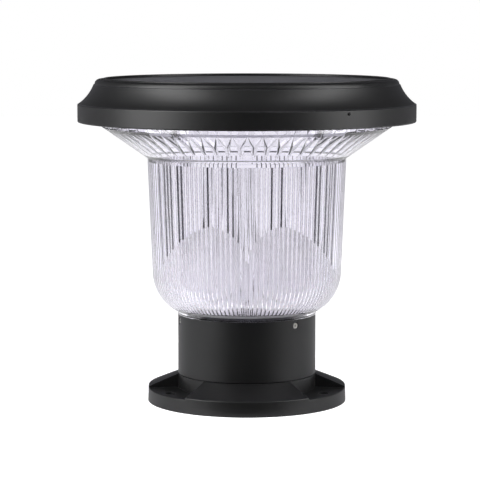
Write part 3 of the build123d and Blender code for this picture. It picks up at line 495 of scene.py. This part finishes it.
for z, cut in ((groove_z + groove_half, 0), (groove_z, groove_depth), (groove_z - groove_half, 0)):
    inside.append(plain_ring(z, flare_inner(z) + cut))
inside += [
    plain_ring(inner_corner_z, wall_radius(inner_corner_z, wall)),
    plain_ring(flute_top_z, wall_radius(flute_top_z, wall)),
]
for z in [flute_top_z] + bend_levels(wall, floor_top_z, inner_bend_steps)[::-1]:
    inside.append(flute_ring(z, wall_radius(z, wall)))
section = outside + inside + [plain_ring(floor_top_z, screw_hole_radius)]
print("levels in the section:", len(section))


# %% Rings of the bowl, one after the other
def pick_columns(test):
    """Selects the points of the newest ring whose column passes the test, and returns the ring."""
    edit = bmesh.from_edit_mesh(bowl.data)
    column = edit.verts.layers.int["column"]
    newest = [v for v in edit.verts if v.select]
    for v in newest:
        v.select = test(v[column])
    edit.select_flush_mode()
    bmesh.update_edit_mesh(bowl.data)
    return [v.index for v in newest]


def pick_again(numbers):
    """Selects these points again."""
    edit = bmesh.from_edit_mesh(bowl.data)
    edit.verts.ensure_lookup_table()
    for number in numbers:
        edit.verts[number].select = True
    edit.select_flush_mode()
    bmesh.update_edit_mesh(bowl.data)


def scale_by(factor):
    """Scales the selected points in their plane."""
    bpy.ops.transform.resize(value=(factor, factor, 1), center_override=(0, 0, 0))


def turn_by(degrees_on):
    """Turns the selected points about the axis."""
    bpy.ops.transform.rotate(value=-radians(degrees_on), orient_axis="Z", center_override=(0, 0, 0))


def change_columns(amounts, nothing, change):
    """Applies one amount to each of the sixteen columns of every dart, equal ones together."""
    for amount in sorted(set(round(value, 9) for value in amounts)):
        if abs(amount - nothing) < 1e-8:
            continue
        wanted = [c for c in range(dart_points) if round(amounts[c], 9) == amount]
        if len(wanted) == dart_points:
            change(amount)
            continue
        newest = pick_columns(lambda k: k % dart_points in wanted)
        change(amount)
        pick_again(newest)


bpy.ops.object.select_all(action="DESELECT")
first_z, first_radii, _ = section[0]
bpy.ops.mesh.primitive_circle_add(vertices=points_round, radius=first_radii[0] * mm,
                                  fill_type="NOTHING")
bowl = bpy.context.object
bowl.name = "clear_bowl"
bpy.ops.object.mode_set(mode="EDIT")
bpy.ops.mesh.select_mode(type="VERT")
bpy.ops.mesh.select_all(action="SELECT")
bpy.ops.transform.rotate(value=pi / 2, orient_axis="Z", center_override=(0, 0, 0))
bpy.ops.transform.translate(value=(0, 0, first_z * mm))
edit = bmesh.from_edit_mesh(bowl.data)
column = edit.verts.layers.int.new("column")
for v in edit.verts:
    v[column] = round(atan2(v.co.y, v.co.x) / (2 * pi) * points_round) % points_round
bmesh.update_edit_mesh(bowl.data)
for (old_z, old_radii, old_turns), (z, radii, turns) in zip(section, section[1:]):
    bpy.ops.mesh.extrude_edges_move(TRANSFORM_OT_translate={"value": (0, 0, (z - old_z) * mm)})
    change_columns([new / old for new, old in zip(radii, old_radii)], 1.0, scale_by)
    change_columns([new - old for new, old in zip(turns, old_turns)], 0.0, turn_by)
bpy.ops.mesh.select_all(action="SELECT")
bpy.ops.mesh.remove_doubles(threshold=merge_reach * mm)
bpy.ops.mesh.normals_make_consistent(inside=False)
bpy.ops.object.mode_set(mode="OBJECT")
print("bowl faces:", len(bowl.data.polygons))

# %% Facets at the top of the darts
near = 0.01
bpy.ops.object.mode_set(mode="EDIT")
bpy.ops.mesh.select_mode(type="FACE")
edit = bmesh.from_edit_mesh(bowl.data)
column = edit.verts.layers.int["column"]
for face in edit.faces:
    heights = [v.co.z / mm for v in face.verts]
    columns = [v[column] % dart_points for v in face.verts]
    radius = max(sqrt(v.co.x ** 2 + v.co.y ** 2) for v in face.verts) / mm
    face.select = (abs(min(heights) - dart_tip_z) < near and abs(max(heights) - dart_top_z) < near
                   and dart_points // 2 in columns and radius < rim_inner + near)
facets = sum(1 for face in edit.faces if face.select)
bmesh.update_edit_mesh(bowl.data)
bpy.ops.mesh.quads_convert_to_tris(quad_method="LONGEST_DIAGONAL")
bpy.ops.mesh.select_mode(type="VERT")
bpy.ops.object.mode_set(mode="OBJECT")
print("faces at the tops of the darts:", facets)

# %% Screw bosses under the rim
boss_circle = 98.4
boss_radius = 3.2
boss_depth = 7.5
pilot_radius = 1.55
pilot_depth = 6.0
pilot_overrun = 1.0
boss_count = 6
peg_sides = 24


def round_pegs(name, radius, top_z, depth):
    """Equal upright pegs at the screw places, in one mesh."""
    bpy.ops.object.select_all(action="DESELECT")
    pegs = []
    for number in range(boss_count):
        turn = 2 * pi * number / boss_count
        spot = (boss_circle * cos(turn) * mm, boss_circle * sin(turn) * mm, (top_z - depth / 2) * mm)
        bpy.ops.mesh.primitive_cylinder_add(vertices=peg_sides, radius=radius * mm, depth=depth * mm,
                                            location=spot)
        pegs.append(bpy.context.object)
    for peg in pegs:
        peg.select_set(True)
    bpy.context.view_layer.objects.active = pegs[0]
    bpy.ops.object.join()
    joined = bpy.context.object
    joined.name = name
    return joined


bosses = round_pegs("bosses", boss_radius, rim_z, boss_depth)
pilots = round_pegs("pilots", pilot_radius, rim_z + pilot_overrun, pilot_depth + pilot_overrun)
for pegs, operation in ((bosses, "UNION"), (pilots, "DIFFERENCE")):
    change = bowl.modifiers.new(pegs.name, "BOOLEAN")
    change.operation = operation
    change.solver = "EXACT"
    change.object = pegs
    bpy.ops.object.select_all(action="DESELECT")
    bpy.context.view_layer.objects.active = bowl
    bowl.select_set(True)
    bpy.ops.object.modifier_apply(modifier=change.name)
    bpy.data.objects.remove(pegs, do_unlink=True)
bpy.ops.object.shade_smooth_by_angle(angle=smooth_angle)
print("bowl faces with bosses:", len(bowl.data.polygons))

# %% [markdown]
# ## Clear polycarbonate
#
# Injection moulded polycarbonate is water clear with a faint violet cast that makers add
# against yellowing. It bends light more than glass does, with an index of 1.585.
# Moulded faces are never quite flat, so a very shallow wave runs over them.
# Shadow rays pass it straight, because a path tracer can't find the light through a lens.

# %% Clear polycarbonate
flow_size = 14
wave_depth = 0.004
clear_pc, tree, shader = new_material("clear_polycarbonate")
shader.inputs["Transmission Weight"].default_value = 1.0
shader.inputs["IOR"].default_value = 1.585
place = add_node(tree, "ShaderNodeTexCoord").outputs["Object"]
flow = add_node(tree, "ShaderNodeTexNoise", values={"Scale": 1 / (flow_size * mm), "Detail": 1.0},
                links={"Vector": place})
tint = add_node(tree, "ShaderNodeMix", {"data_type": "RGBA"},
                {6: linear("#f3f1f9"), 7: linear("#f9f8fc")}, {0: flow.outputs[0]})
polish = add_node(tree, "ShaderNodeMapRange", values={"To Min": 0.0, "To Max": 0.012},
                  links={"Value": flow.outputs[0]})
wave = add_node(tree, "ShaderNodeBump", values={"Strength": 1.0, "Distance": wave_depth * mm},
                links={"Height": flow.outputs[0]})
tree.links.new(tint.outputs[2], shader.inputs["Base Color"])
tree.links.new(polish.outputs[0], shader.inputs["Roughness"])
tree.links.new(wave.outputs[0], shader.inputs["Normal"])
output = next(n for n in tree.nodes if n.type == "OUTPUT_MATERIAL")
path = add_node(tree, "ShaderNodeLightPath")
let_through = add_node(tree, "ShaderNodeBsdfTransparent", values={"Color": linear("#f0eef6")})
mixed = add_node(tree, "ShaderNodeMixShader",
                 links={0: path.outputs["Is Shadow Ray"], 1: shader.outputs[0], 2: let_through.outputs[0]})
tree.links.new(mixed.outputs[0], output.inputs["Surface"])
bowl.data.materials.append(clear_pc)
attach(bowl, "light")
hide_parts("diffuser")
print("bowl rides on light")

# %% [markdown]
# ## Black powder coat
#
# The four castings are aluminium, blasted and powder coated in a fine black satin.
# Baked powder never lies quite flat: it leaves a fine pebble, less than a millimetre across,
# that breaks up highlights. Handling polishes the edges, so they are smoother, and their colour
# is painted a little paler, partly for that wear and partly as a painted highlight along the edges.
# The Bevel node finds them: it bends the normal near an edge, and the more it differs from the true one,
# the nearer the edge is.
# The floor of the head is painted white inside the bowl, around the light board.

# %% Black powder coat
pebble_size = 0.9
pebble_depth = 0.018
patch_size = 30
edge_reach = 0.5
edge_starts = 0.995
edge_full = 0.93
edge_roughness = 0.3
painted_radius = 106.5
painted_low_z = 208.2
painted_high_z = 211.5
coat, tree, shader = new_material("black_powder_coat")
shader.inputs["IOR"].default_value = 1.5
place = add_node(tree, "ShaderNodeTexCoord").outputs["Object"]
pebble = add_node(tree, "ShaderNodeTexNoise", values={"Scale": 1 / (pebble_size * mm), "Detail": 2.0},
                  links={"Vector": place})
patches = add_node(tree, "ShaderNodeTexNoise", values={"Scale": 1 / (patch_size * mm), "Detail": 4.0},
                   links={"Vector": place})
coat_tone = add_node(tree, "ShaderNodeMix", {"data_type": "RGBA"},
                     {6: linear("#0b0b0c"), 7: linear("#101011")}, {0: patches.outputs[0]})
relief = add_node(tree, "ShaderNodeBump", values={"Strength": 1.0, "Distance": pebble_depth * mm},
                  links={"Height": pebble.outputs[0]})
softened = add_node(tree, "ShaderNodeBevel", {"samples": 4}, {"Radius": edge_reach * mm})
geometry = add_node(tree, "ShaderNodeNewGeometry")
likeness = add_node(tree, "ShaderNodeVectorMath", {"operation": "DOT_PRODUCT"},
                    links={0: softened.outputs[0], 1: geometry.outputs["Normal"]})
edge = add_node(tree, "ShaderNodeMapRange", values={
    "From Min": edge_starts, "From Max": edge_full, "To Min": 0.0, "To Max": 1.0,
}, links={"Value": likeness.outputs["Value"]})
# Edges are painted paler: partly handling wear, partly a painted highlight along each edge.
wear_and_highlight = add_node(tree, "ShaderNodeMath", {"operation": "MULTIPLY"},
                  links={0: edge.outputs[0], 1: patches.outputs[0]})
wear_and_highlight_tone = add_node(tree, "ShaderNodeMix", {"data_type": "RGBA"}, {7: linear("#4a4a4e")},
                     {0: wear_and_highlight.outputs[0], 6: coat_tone.outputs[2]})
satin = add_node(tree, "ShaderNodeMapRange", values={"To Min": 0.4, "To Max": 0.47},
                 links={"Value": patches.outputs[0]})
worn_satin = add_node(tree, "ShaderNodeMix", {"data_type": "FLOAT"}, {3: edge_roughness},
                      {0: edge.outputs[0], 2: satin.outputs[0]})
axes = add_node(tree, "ShaderNodeSeparateXYZ", links={0: place})
flat = add_node(tree, "ShaderNodeMapping", values={"Scale": (1, 1, 0)}, links={"Vector": place})
reach = add_node(tree, "ShaderNodeVectorMath", {"operation": "LENGTH"}, links={0: flat.outputs[0]})
within = add_node(tree, "ShaderNodeMath", {"operation": "LESS_THAN"}, {1: painted_radius * mm},
                  {0: reach.outputs["Value"]})
above = add_node(tree, "ShaderNodeMath", {"operation": "GREATER_THAN"}, {1: painted_low_z * mm},
                 {0: axes.outputs[2]})
below = add_node(tree, "ShaderNodeMath", {"operation": "LESS_THAN"}, {1: painted_high_z * mm},
                 {0: axes.outputs[2]})
in_bowl = add_node(tree, "ShaderNodeMath", {"operation": "MULTIPLY"},
                   links={0: within.outputs[0], 1: above.outputs[0]})
painted = add_node(tree, "ShaderNodeMath", {"operation": "MULTIPLY"},
                   links={0: in_bowl.outputs[0], 1: below.outputs[0]})
coat_or_white = add_node(tree, "ShaderNodeMix", {"data_type": "RGBA"}, {7: linear("#e9e9ec")},
                         {0: painted.outputs[0], 6: wear_and_highlight_tone.outputs[2]})
tree.links.new(coat_or_white.outputs[2], shader.inputs["Base Color"])
tree.links.new(worn_satin.outputs[0], shader.inputs["Roughness"])
tree.links.new(relief.outputs[0], shader.inputs["Normal"])
dress(coat, "base_flange", "column", "head_base", "top_cover")

# %% [markdown]
# ## Solar panel
#
# Under a slightly matt cover lie twelve dark strips cut from silicon cells.
# Real cells carry silver fingers about 2 mm apart and a busbar along the middle of each strip.
# The fingers are only a tenth of a millimetre wide, so they are drawn a little coarser.
# The strips and their places come from the model: the field is 190 mm across.

# %% Silicon cells
field_width = 190.0
strip_count = 12
strip_pitch = field_width / strip_count
finger_pitch = 1.9
busbar_share = 0.045
finger_share = 0.07
crystal_size = 7
cells, tree, shader = new_material("silicon_cell")
shader.inputs["IOR"].default_value = 1.5
shader.inputs["Roughness"].default_value = 0.3
place = add_node(tree, "ShaderNodeTexCoord").outputs["Object"]
axes = add_node(tree, "ShaderNodeSeparateXYZ", links={0: place})
crystal = add_node(tree, "ShaderNodeTexVoronoi", values={"Scale": 1 / (crystal_size * mm)},
                   links={"Vector": place})
crystal_tone = add_node(tree, "ShaderNodeMix", {"data_type": "RGBA"},
                        {6: linear("#0d0f18"), 7: linear("#171b2b")}, {0: crystal.outputs["Distance"]})
line_masks = []
for axis, pitch, width in ((1, strip_pitch, busbar_share), (0, finger_pitch, finger_share)):
    count = add_node(tree, "ShaderNodeMath", {"operation": "MULTIPLY"}, {1: 1 / (pitch * mm)},
                     {0: axes.outputs[axis]})
    share = add_node(tree, "ShaderNodeMath", {"operation": "FRACT"}, links={0: count.outputs[0]})
    off = add_node(tree, "ShaderNodeMath", {"operation": "SUBTRACT"}, {1: 0.5}, {0: share.outputs[0]})
    away = add_node(tree, "ShaderNodeMath", {"operation": "ABSOLUTE"}, links={0: off.outputs[0]})
    line_masks.append(add_node(tree, "ShaderNodeMath", {"operation": "LESS_THAN"}, {1: width},
                               {0: away.outputs[0]}))
silver = add_node(tree, "ShaderNodeMath", {"operation": "MAXIMUM"},
                  links={0: line_masks[0].outputs[0], 1: line_masks[1].outputs[0]})
cell_tone = add_node(tree, "ShaderNodeMix", {"data_type": "RGBA"}, {7: linear("#8c8f96")},
                     {0: silver.outputs[0], 6: crystal_tone.outputs[2]})
tree.links.new(cell_tone.outputs[2], shader.inputs["Base Color"])
tree.links.new(silver.outputs[0], shader.inputs["Metallic"])
dress(cells, "solar_cells")

# %% Panel cover
etch_size = 1.1
etch_depth = 0.02
cover_film, tree, shader = new_material("panel_cover_glass")
shader.inputs["Transmission Weight"].default_value = 1.0
shader.inputs["IOR"].default_value = 1.5
place = add_node(tree, "ShaderNodeTexCoord").outputs["Object"]
etch = add_node(tree, "ShaderNodeTexNoise", values={"Scale": 1 / (etch_size * mm), "Detail": 2.0},
                links={"Vector": place})
film_tone = add_node(tree, "ShaderNodeMix", {"data_type": "RGBA"},
                     {6: linear("#77777d"), 7: linear("#838389")}, {0: etch.outputs[0]})
film_satin = add_node(tree, "ShaderNodeMapRange", values={"To Min": 0.3, "To Max": 0.45},
                      links={"Value": etch.outputs[0]})
film_relief = add_node(tree, "ShaderNodeBump", values={"Strength": 1.0, "Distance": etch_depth * mm},
                       links={"Height": etch.outputs[0]})
tree.links.new(film_tone.outputs[2], shader.inputs["Base Color"])
tree.links.new(film_satin.outputs[0], shader.inputs["Roughness"])
tree.links.new(film_relief.outputs[0], shader.inputs["Normal"])
dress(cover_film, "panel_glass")

# %% [markdown]
# ## Plain moulded, painted and plated pieces
#
# Most small pieces share one recipe: two close colours in soft patches, a fine grain in relief,
# and a roughness that follows the patches. What differs from piece to piece are the colours,
# the size of the grain and how deep it is, so one function takes those.

# %% One recipe for plain surfaces
tone_patch_size = 12
smoother = 0.05
rougher = 0.08


def plain_finish(name, dark, light, roughness, grain_size, depth, metallic=0.0, stretch=(1, 1, 1)):
    """Two close colours in patches over a grain, whose size and depth are in millimetres."""
    material, tree, shader = new_material(name)
    shader.inputs["Metallic"].default_value = metallic
    place = add_node(tree, "ShaderNodeTexCoord").outputs["Object"]
    drawn = add_node(tree, "ShaderNodeMapping", values={"Scale": stretch}, links={"Vector": place})
    grain = add_node(tree, "ShaderNodeTexNoise", values={"Scale": 1 / (grain_size * mm), "Detail": 2.0},
                     links={"Vector": drawn.outputs[0]})
    patches = add_node(tree, "ShaderNodeTexNoise",
                       values={"Scale": 1 / (tone_patch_size * mm), "Detail": 3.0}, links={"Vector": place})
    tone = add_node(tree, "ShaderNodeMix", {"data_type": "RGBA"}, {6: linear(dark), 7: linear(light)},
                    {0: patches.outputs[0]})
    sheen = add_node(tree, "ShaderNodeMapRange", values={
        "To Min": roughness - smoother, "To Max": roughness + rougher,
    }, links={"Value": grain.outputs[0]})
    relief = add_node(tree, "ShaderNodeBump", values={"Strength": 1.0, "Distance": depth * mm},
                      links={"Height": grain.outputs[0]})
    tree.links.new(tone.outputs[2], shader.inputs["Base Color"])
    tree.links.new(sheen.outputs[0], shader.inputs["Roughness"])
    tree.links.new(relief.outputs[0], shader.inputs["Normal"])
    return material, tree, shader


# Moulded white ABS: a satin surface with a spark-eroded grain
dress(plain_finish("white_abs", "#ebebe7", "#f3f3f0", 0.42, 0.6, 0.01)[0],
      "reflector", "switch_plunger", "board_plugs")
# Moulded black ABS: the same grain, nearly matt
dress(plain_finish("black_abs", "#1b1b1c", "#242426", 0.5, 0.6, 0.012)[0],
      "battery_cradle", "switch_body", "board_components")
# Silicone rubber: matt, with a bloom of dust in patches
dress(plain_finish("silicone_rubber", "#222224", "#303033", 0.75, 0.4, 0.01)[0],
      "cover_seal", "lead_grommet", "mode_button")
# The gasket on the bowl's rim is milky silicone, so no dark line shows through the rim
dress(plain_finish("silicone_rubber_milky", "#dcdce0", "#e8e8ec", 0.6, 0.4, 0.01)[0], "diffuser_gasket")
# Stainless steel: turned, so the scratches run round the shank
dress(plain_finish("stainless_steel", "#b9b7b2", "#d2d0cb", 0.26, 0.3, 0.006, 1.0, (1, 1, 5))[0],
      "neck_screws", "column_screws", "reflector_screw", "diffuser_screws", "led_board_screws",
      "cradle_screws", "board_screws", "switch_screws")
# Black oxide: a thin dark layer on steel, oily and uneven
dress(plain_finish("black_oxide_steel", "#2a2a2c", "#3c3b3b", 0.38, 0.3, 0.006, 1.0)[0], "cover_screws")
# Nickel strip: rolled, so its scratches run along the row of cells
dress(plain_finish("nickel_strip", "#b5b0a6", "#cdc8be", 0.3, 0.25, 0.004, 1.0, (1, 6, 1))[0],
      "battery_tabs")

# %% [markdown]
# ## Boards, light emitters, cells and leads
#
# The light board is an aluminium plate under a white lacquer, with flat conductors beneath it
# that show as faint rings where the emitters sit. The green boards show conductors as paler
# lines on a 2.54 mm grid. An emitter is a white cup filled with yellow phosphor.
# The cells have a blue shrink wrap that stops just short of their metal ends,
# and of each pair of leads one is red and one is black.

# %% White light board and its emitters
led_circles = (75.7, 48.2)
trace_half_width = 2.4
light_board, tree, shader = plain_finish("white_metal_core_board", "#eef0ef", "#f4f5f4", 0.5, 0.5, 0.006)
place = add_node(tree, "ShaderNodeTexCoord").outputs["Object"]
flat = add_node(tree, "ShaderNodeMapping", values={"Scale": (1, 1, 0)}, links={"Vector": place})
reach = add_node(tree, "ShaderNodeVectorMath", {"operation": "LENGTH"}, links={0: flat.outputs[0]})
tone = shader.inputs["Base Color"].links[0].from_socket
for radius in led_circles:
    off = add_node(tree, "ShaderNodeMath", {"operation": "SUBTRACT"}, {1: radius * mm},
                   {0: reach.outputs["Value"]})
    away = add_node(tree, "ShaderNodeMath", {"operation": "ABSOLUTE"}, links={0: off.outputs[0]})
    trace = add_node(tree, "ShaderNodeMath", {"operation": "LESS_THAN"}, {1: trace_half_width * mm},
                     {0: away.outputs[0]})
    tone = add_node(tree, "ShaderNodeMix", {"data_type": "RGBA"}, {7: linear("#dfe2e1")},
                    {0: trace.outputs[0], 6: tone}).outputs[2]
tree.links.new(tone, shader.inputs["Base Color"])
dress(light_board, "led_board")

window_normal_z = -0.7
emitter, tree, shader = plain_finish("led_phosphor", "#f2d86a", "#f7e184", 0.35, 0.3, 0.005)
faces = add_node(tree, "ShaderNodeNewGeometry")
facing = add_node(tree, "ShaderNodeSeparateXYZ", links={0: faces.outputs["Normal"]})
side_wall = add_node(tree, "ShaderNodeMath", {"operation": "GREATER_THAN"}, {1: window_normal_z},
                     {0: facing.outputs[2]})
window_tone = shader.inputs["Base Color"].links[0].from_socket
cup = add_node(tree, "ShaderNodeMix", {"data_type": "RGBA"}, {7: linear("#efefec")},
               {0: side_wall.outputs[0], 6: window_tone})
tree.links.new(cup.outputs[2], shader.inputs["Base Color"])
dress(emitter, "leds")

# %% Green and black boards
conductor_width = 0.35


def laminate(name, dark, light, line, grid):
    """Glass fibre board under lacquer, with conductors on a grid that show as paler lines."""
    material, tree, shader = plain_finish(name, dark, light, 0.35, 0.5, 0.004)
    place = add_node(tree, "ShaderNodeTexCoord").outputs["Object"]
    rows = add_node(tree, "ShaderNodeTexBrick", {"offset": 0.5, "squash": 1.0}, {
        "Color1": black, "Color2": black, "Mortar": white, "Scale": 1.0,
        "Mortar Size": conductor_width * mm, "Mortar Smooth": 0.1,
        "Brick Width": 5 * grid * mm, "Row Height": grid * mm,
    }, {"Vector": place})
    tone = shader.inputs["Base Color"].links[0].from_socket
    traced = add_node(tree, "ShaderNodeMix", {"data_type": "RGBA"}, {7: linear(line)},
                      {0: rows.outputs["Color"], 6: tone})
    tree.links.new(traced.outputs[2], shader.inputs["Base Color"])
    return material


dress(laminate("green_laminate", "#145c33", "#1b6b3c", "#2f8f56", grid=2.54),
      "controller_board", "switch_board")
dress(laminate("black_laminate", "#151517", "#1c1c1f", "#242428", grid=5.08), "panel_board")

# %% Cells and leads
cell_half = 32.5
bare_end = 0.4
wrap, tree, shader = plain_finish("cell_wrap", "#1f5f9a", "#2a6fae", 0.3, 2.0, 0.01)
place = add_node(tree, "ShaderNodeTexCoord").outputs["Object"]
axes = add_node(tree, "ShaderNodeSeparateXYZ", links={0: place})
along = add_node(tree, "ShaderNodeMath", {"operation": "ABSOLUTE"}, links={0: axes.outputs[0]})
bare = add_node(tree, "ShaderNodeMath", {"operation": "GREATER_THAN"}, {1: (cell_half - bare_end) * mm},
                {0: along.outputs[0]})
wrap_tone = shader.inputs["Base Color"].links[0].from_socket
cell_skin = add_node(tree, "ShaderNodeMix", {"data_type": "RGBA"}, {7: linear("#c4c2bd")},
                     {0: bare.outputs[0], 6: wrap_tone})
tree.links.new(cell_skin.outputs[2], shader.inputs["Base Color"])
tree.links.new(bare.outputs[0], shader.inputs["Metallic"])
dress(wrap, "battery_cells")


def paired_leads(name, axis, middle):
    """Soft PVC leads: red on the plus side of the middle and black on the other."""
    material, tree, shader = plain_finish(name, "#1a1a1b", "#222223", 0.4, 0.8, 0.006)
    place = add_node(tree, "ShaderNodeTexCoord").outputs["Object"]
    axes = add_node(tree, "ShaderNodeSeparateXYZ", links={0: place})
    plus = add_node(tree, "ShaderNodeMath", {"operation": "GREATER_THAN"}, {1: middle},
                    {0: axes.outputs[axis]})
    black_tone = shader.inputs["Base Color"].links[0].from_socket
    tone = add_node(tree, "ShaderNodeMix", {"data_type": "RGBA"}, {7: linear("#a51d1d")},
                    {0: plus.outputs[0], 6: black_tone})
    tree.links.new(tone.outputs[2], shader.inputs["Base Color"])
    return material


dress(paired_leads("lead_insulation", 0, 0.0), "light_leads", "switch_leads", "battery_leads")
panel_lead_low, panel_lead_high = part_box("panel_leads")
panel_lead_middle = (panel_lead_low[1] + panel_lead_high[1]) / 2
dress(paired_leads("lead_insulation_panel", 1, panel_lead_middle), "panel_leads")

# %% [markdown]
# ## Foam tape and webbing
#
# The tape under the panel is closed-cell foam, full of small bubbles, so a Voronoi pattern
# gives its relief. The strap over the cells is woven: two sets of yarns cross about a
# millimetre apart, and the product of two waves has that quilted look.

# %% Foam tape
bubble_size = 0.7
bubble_depth = 0.08
foam, tree, shader = plain_finish("foam_tape", "#29292a", "#343435", 0.85, 0.8, 0.02)
place = add_node(tree, "ShaderNodeTexCoord").outputs["Object"]
bubbles = add_node(tree, "ShaderNodeTexVoronoi", values={"Scale": 1 / (bubble_size * mm)},
                   links={"Vector": place})
pores = add_node(tree, "ShaderNodeBump", values={"Strength": 1.0, "Distance": bubble_depth * mm},
                 links={"Height": bubbles.outputs["Distance"]})
tree.links.new(pores.outputs[0], shader.inputs["Normal"])
dress(foam, "panel_gasket")

# %% Woven strap
yarn_pitch = 1.0
yarn_depth = 0.2
band_at_scale_one = 0.314  # how wide one band of the Wave Texture is at a scale of 1
webbing, tree, shader = plain_finish("strap_webbing", "#1d1d20", "#2b2b2f", 0.8, 0.5, 0.02)
place = add_node(tree, "ShaderNodeTexCoord").outputs["Object"]
waves = []
for direction in ("X", "Y"):
    waves.append(add_node(tree, "ShaderNodeTexWave", {"wave_type": "BANDS", "bands_direction": direction},
                          {"Scale": band_at_scale_one / (yarn_pitch * mm)}, {"Vector": place}))
weave = add_node(tree, "ShaderNodeMath", {"operation": "MULTIPLY"},
                 links={0: waves[0].outputs["Fac"], 1: waves[1].outputs["Fac"]})
yarn_tone = add_node(tree, "ShaderNodeMix", {"data_type": "RGBA"},
                     {6: linear("#151517"), 7: linear("#37373c")}, {0: weave.outputs[0]})
yarns = add_node(tree, "ShaderNodeBump", values={"Strength": 1.0, "Distance": yarn_depth * mm},
                 links={"Height": weave.outputs[0]})
tree.links.new(yarn_tone.outputs[2], shader.inputs["Base Color"])
tree.links.new(yarns.outputs[0], shader.inputs["Normal"])
dress(webbing, "battery_strap")
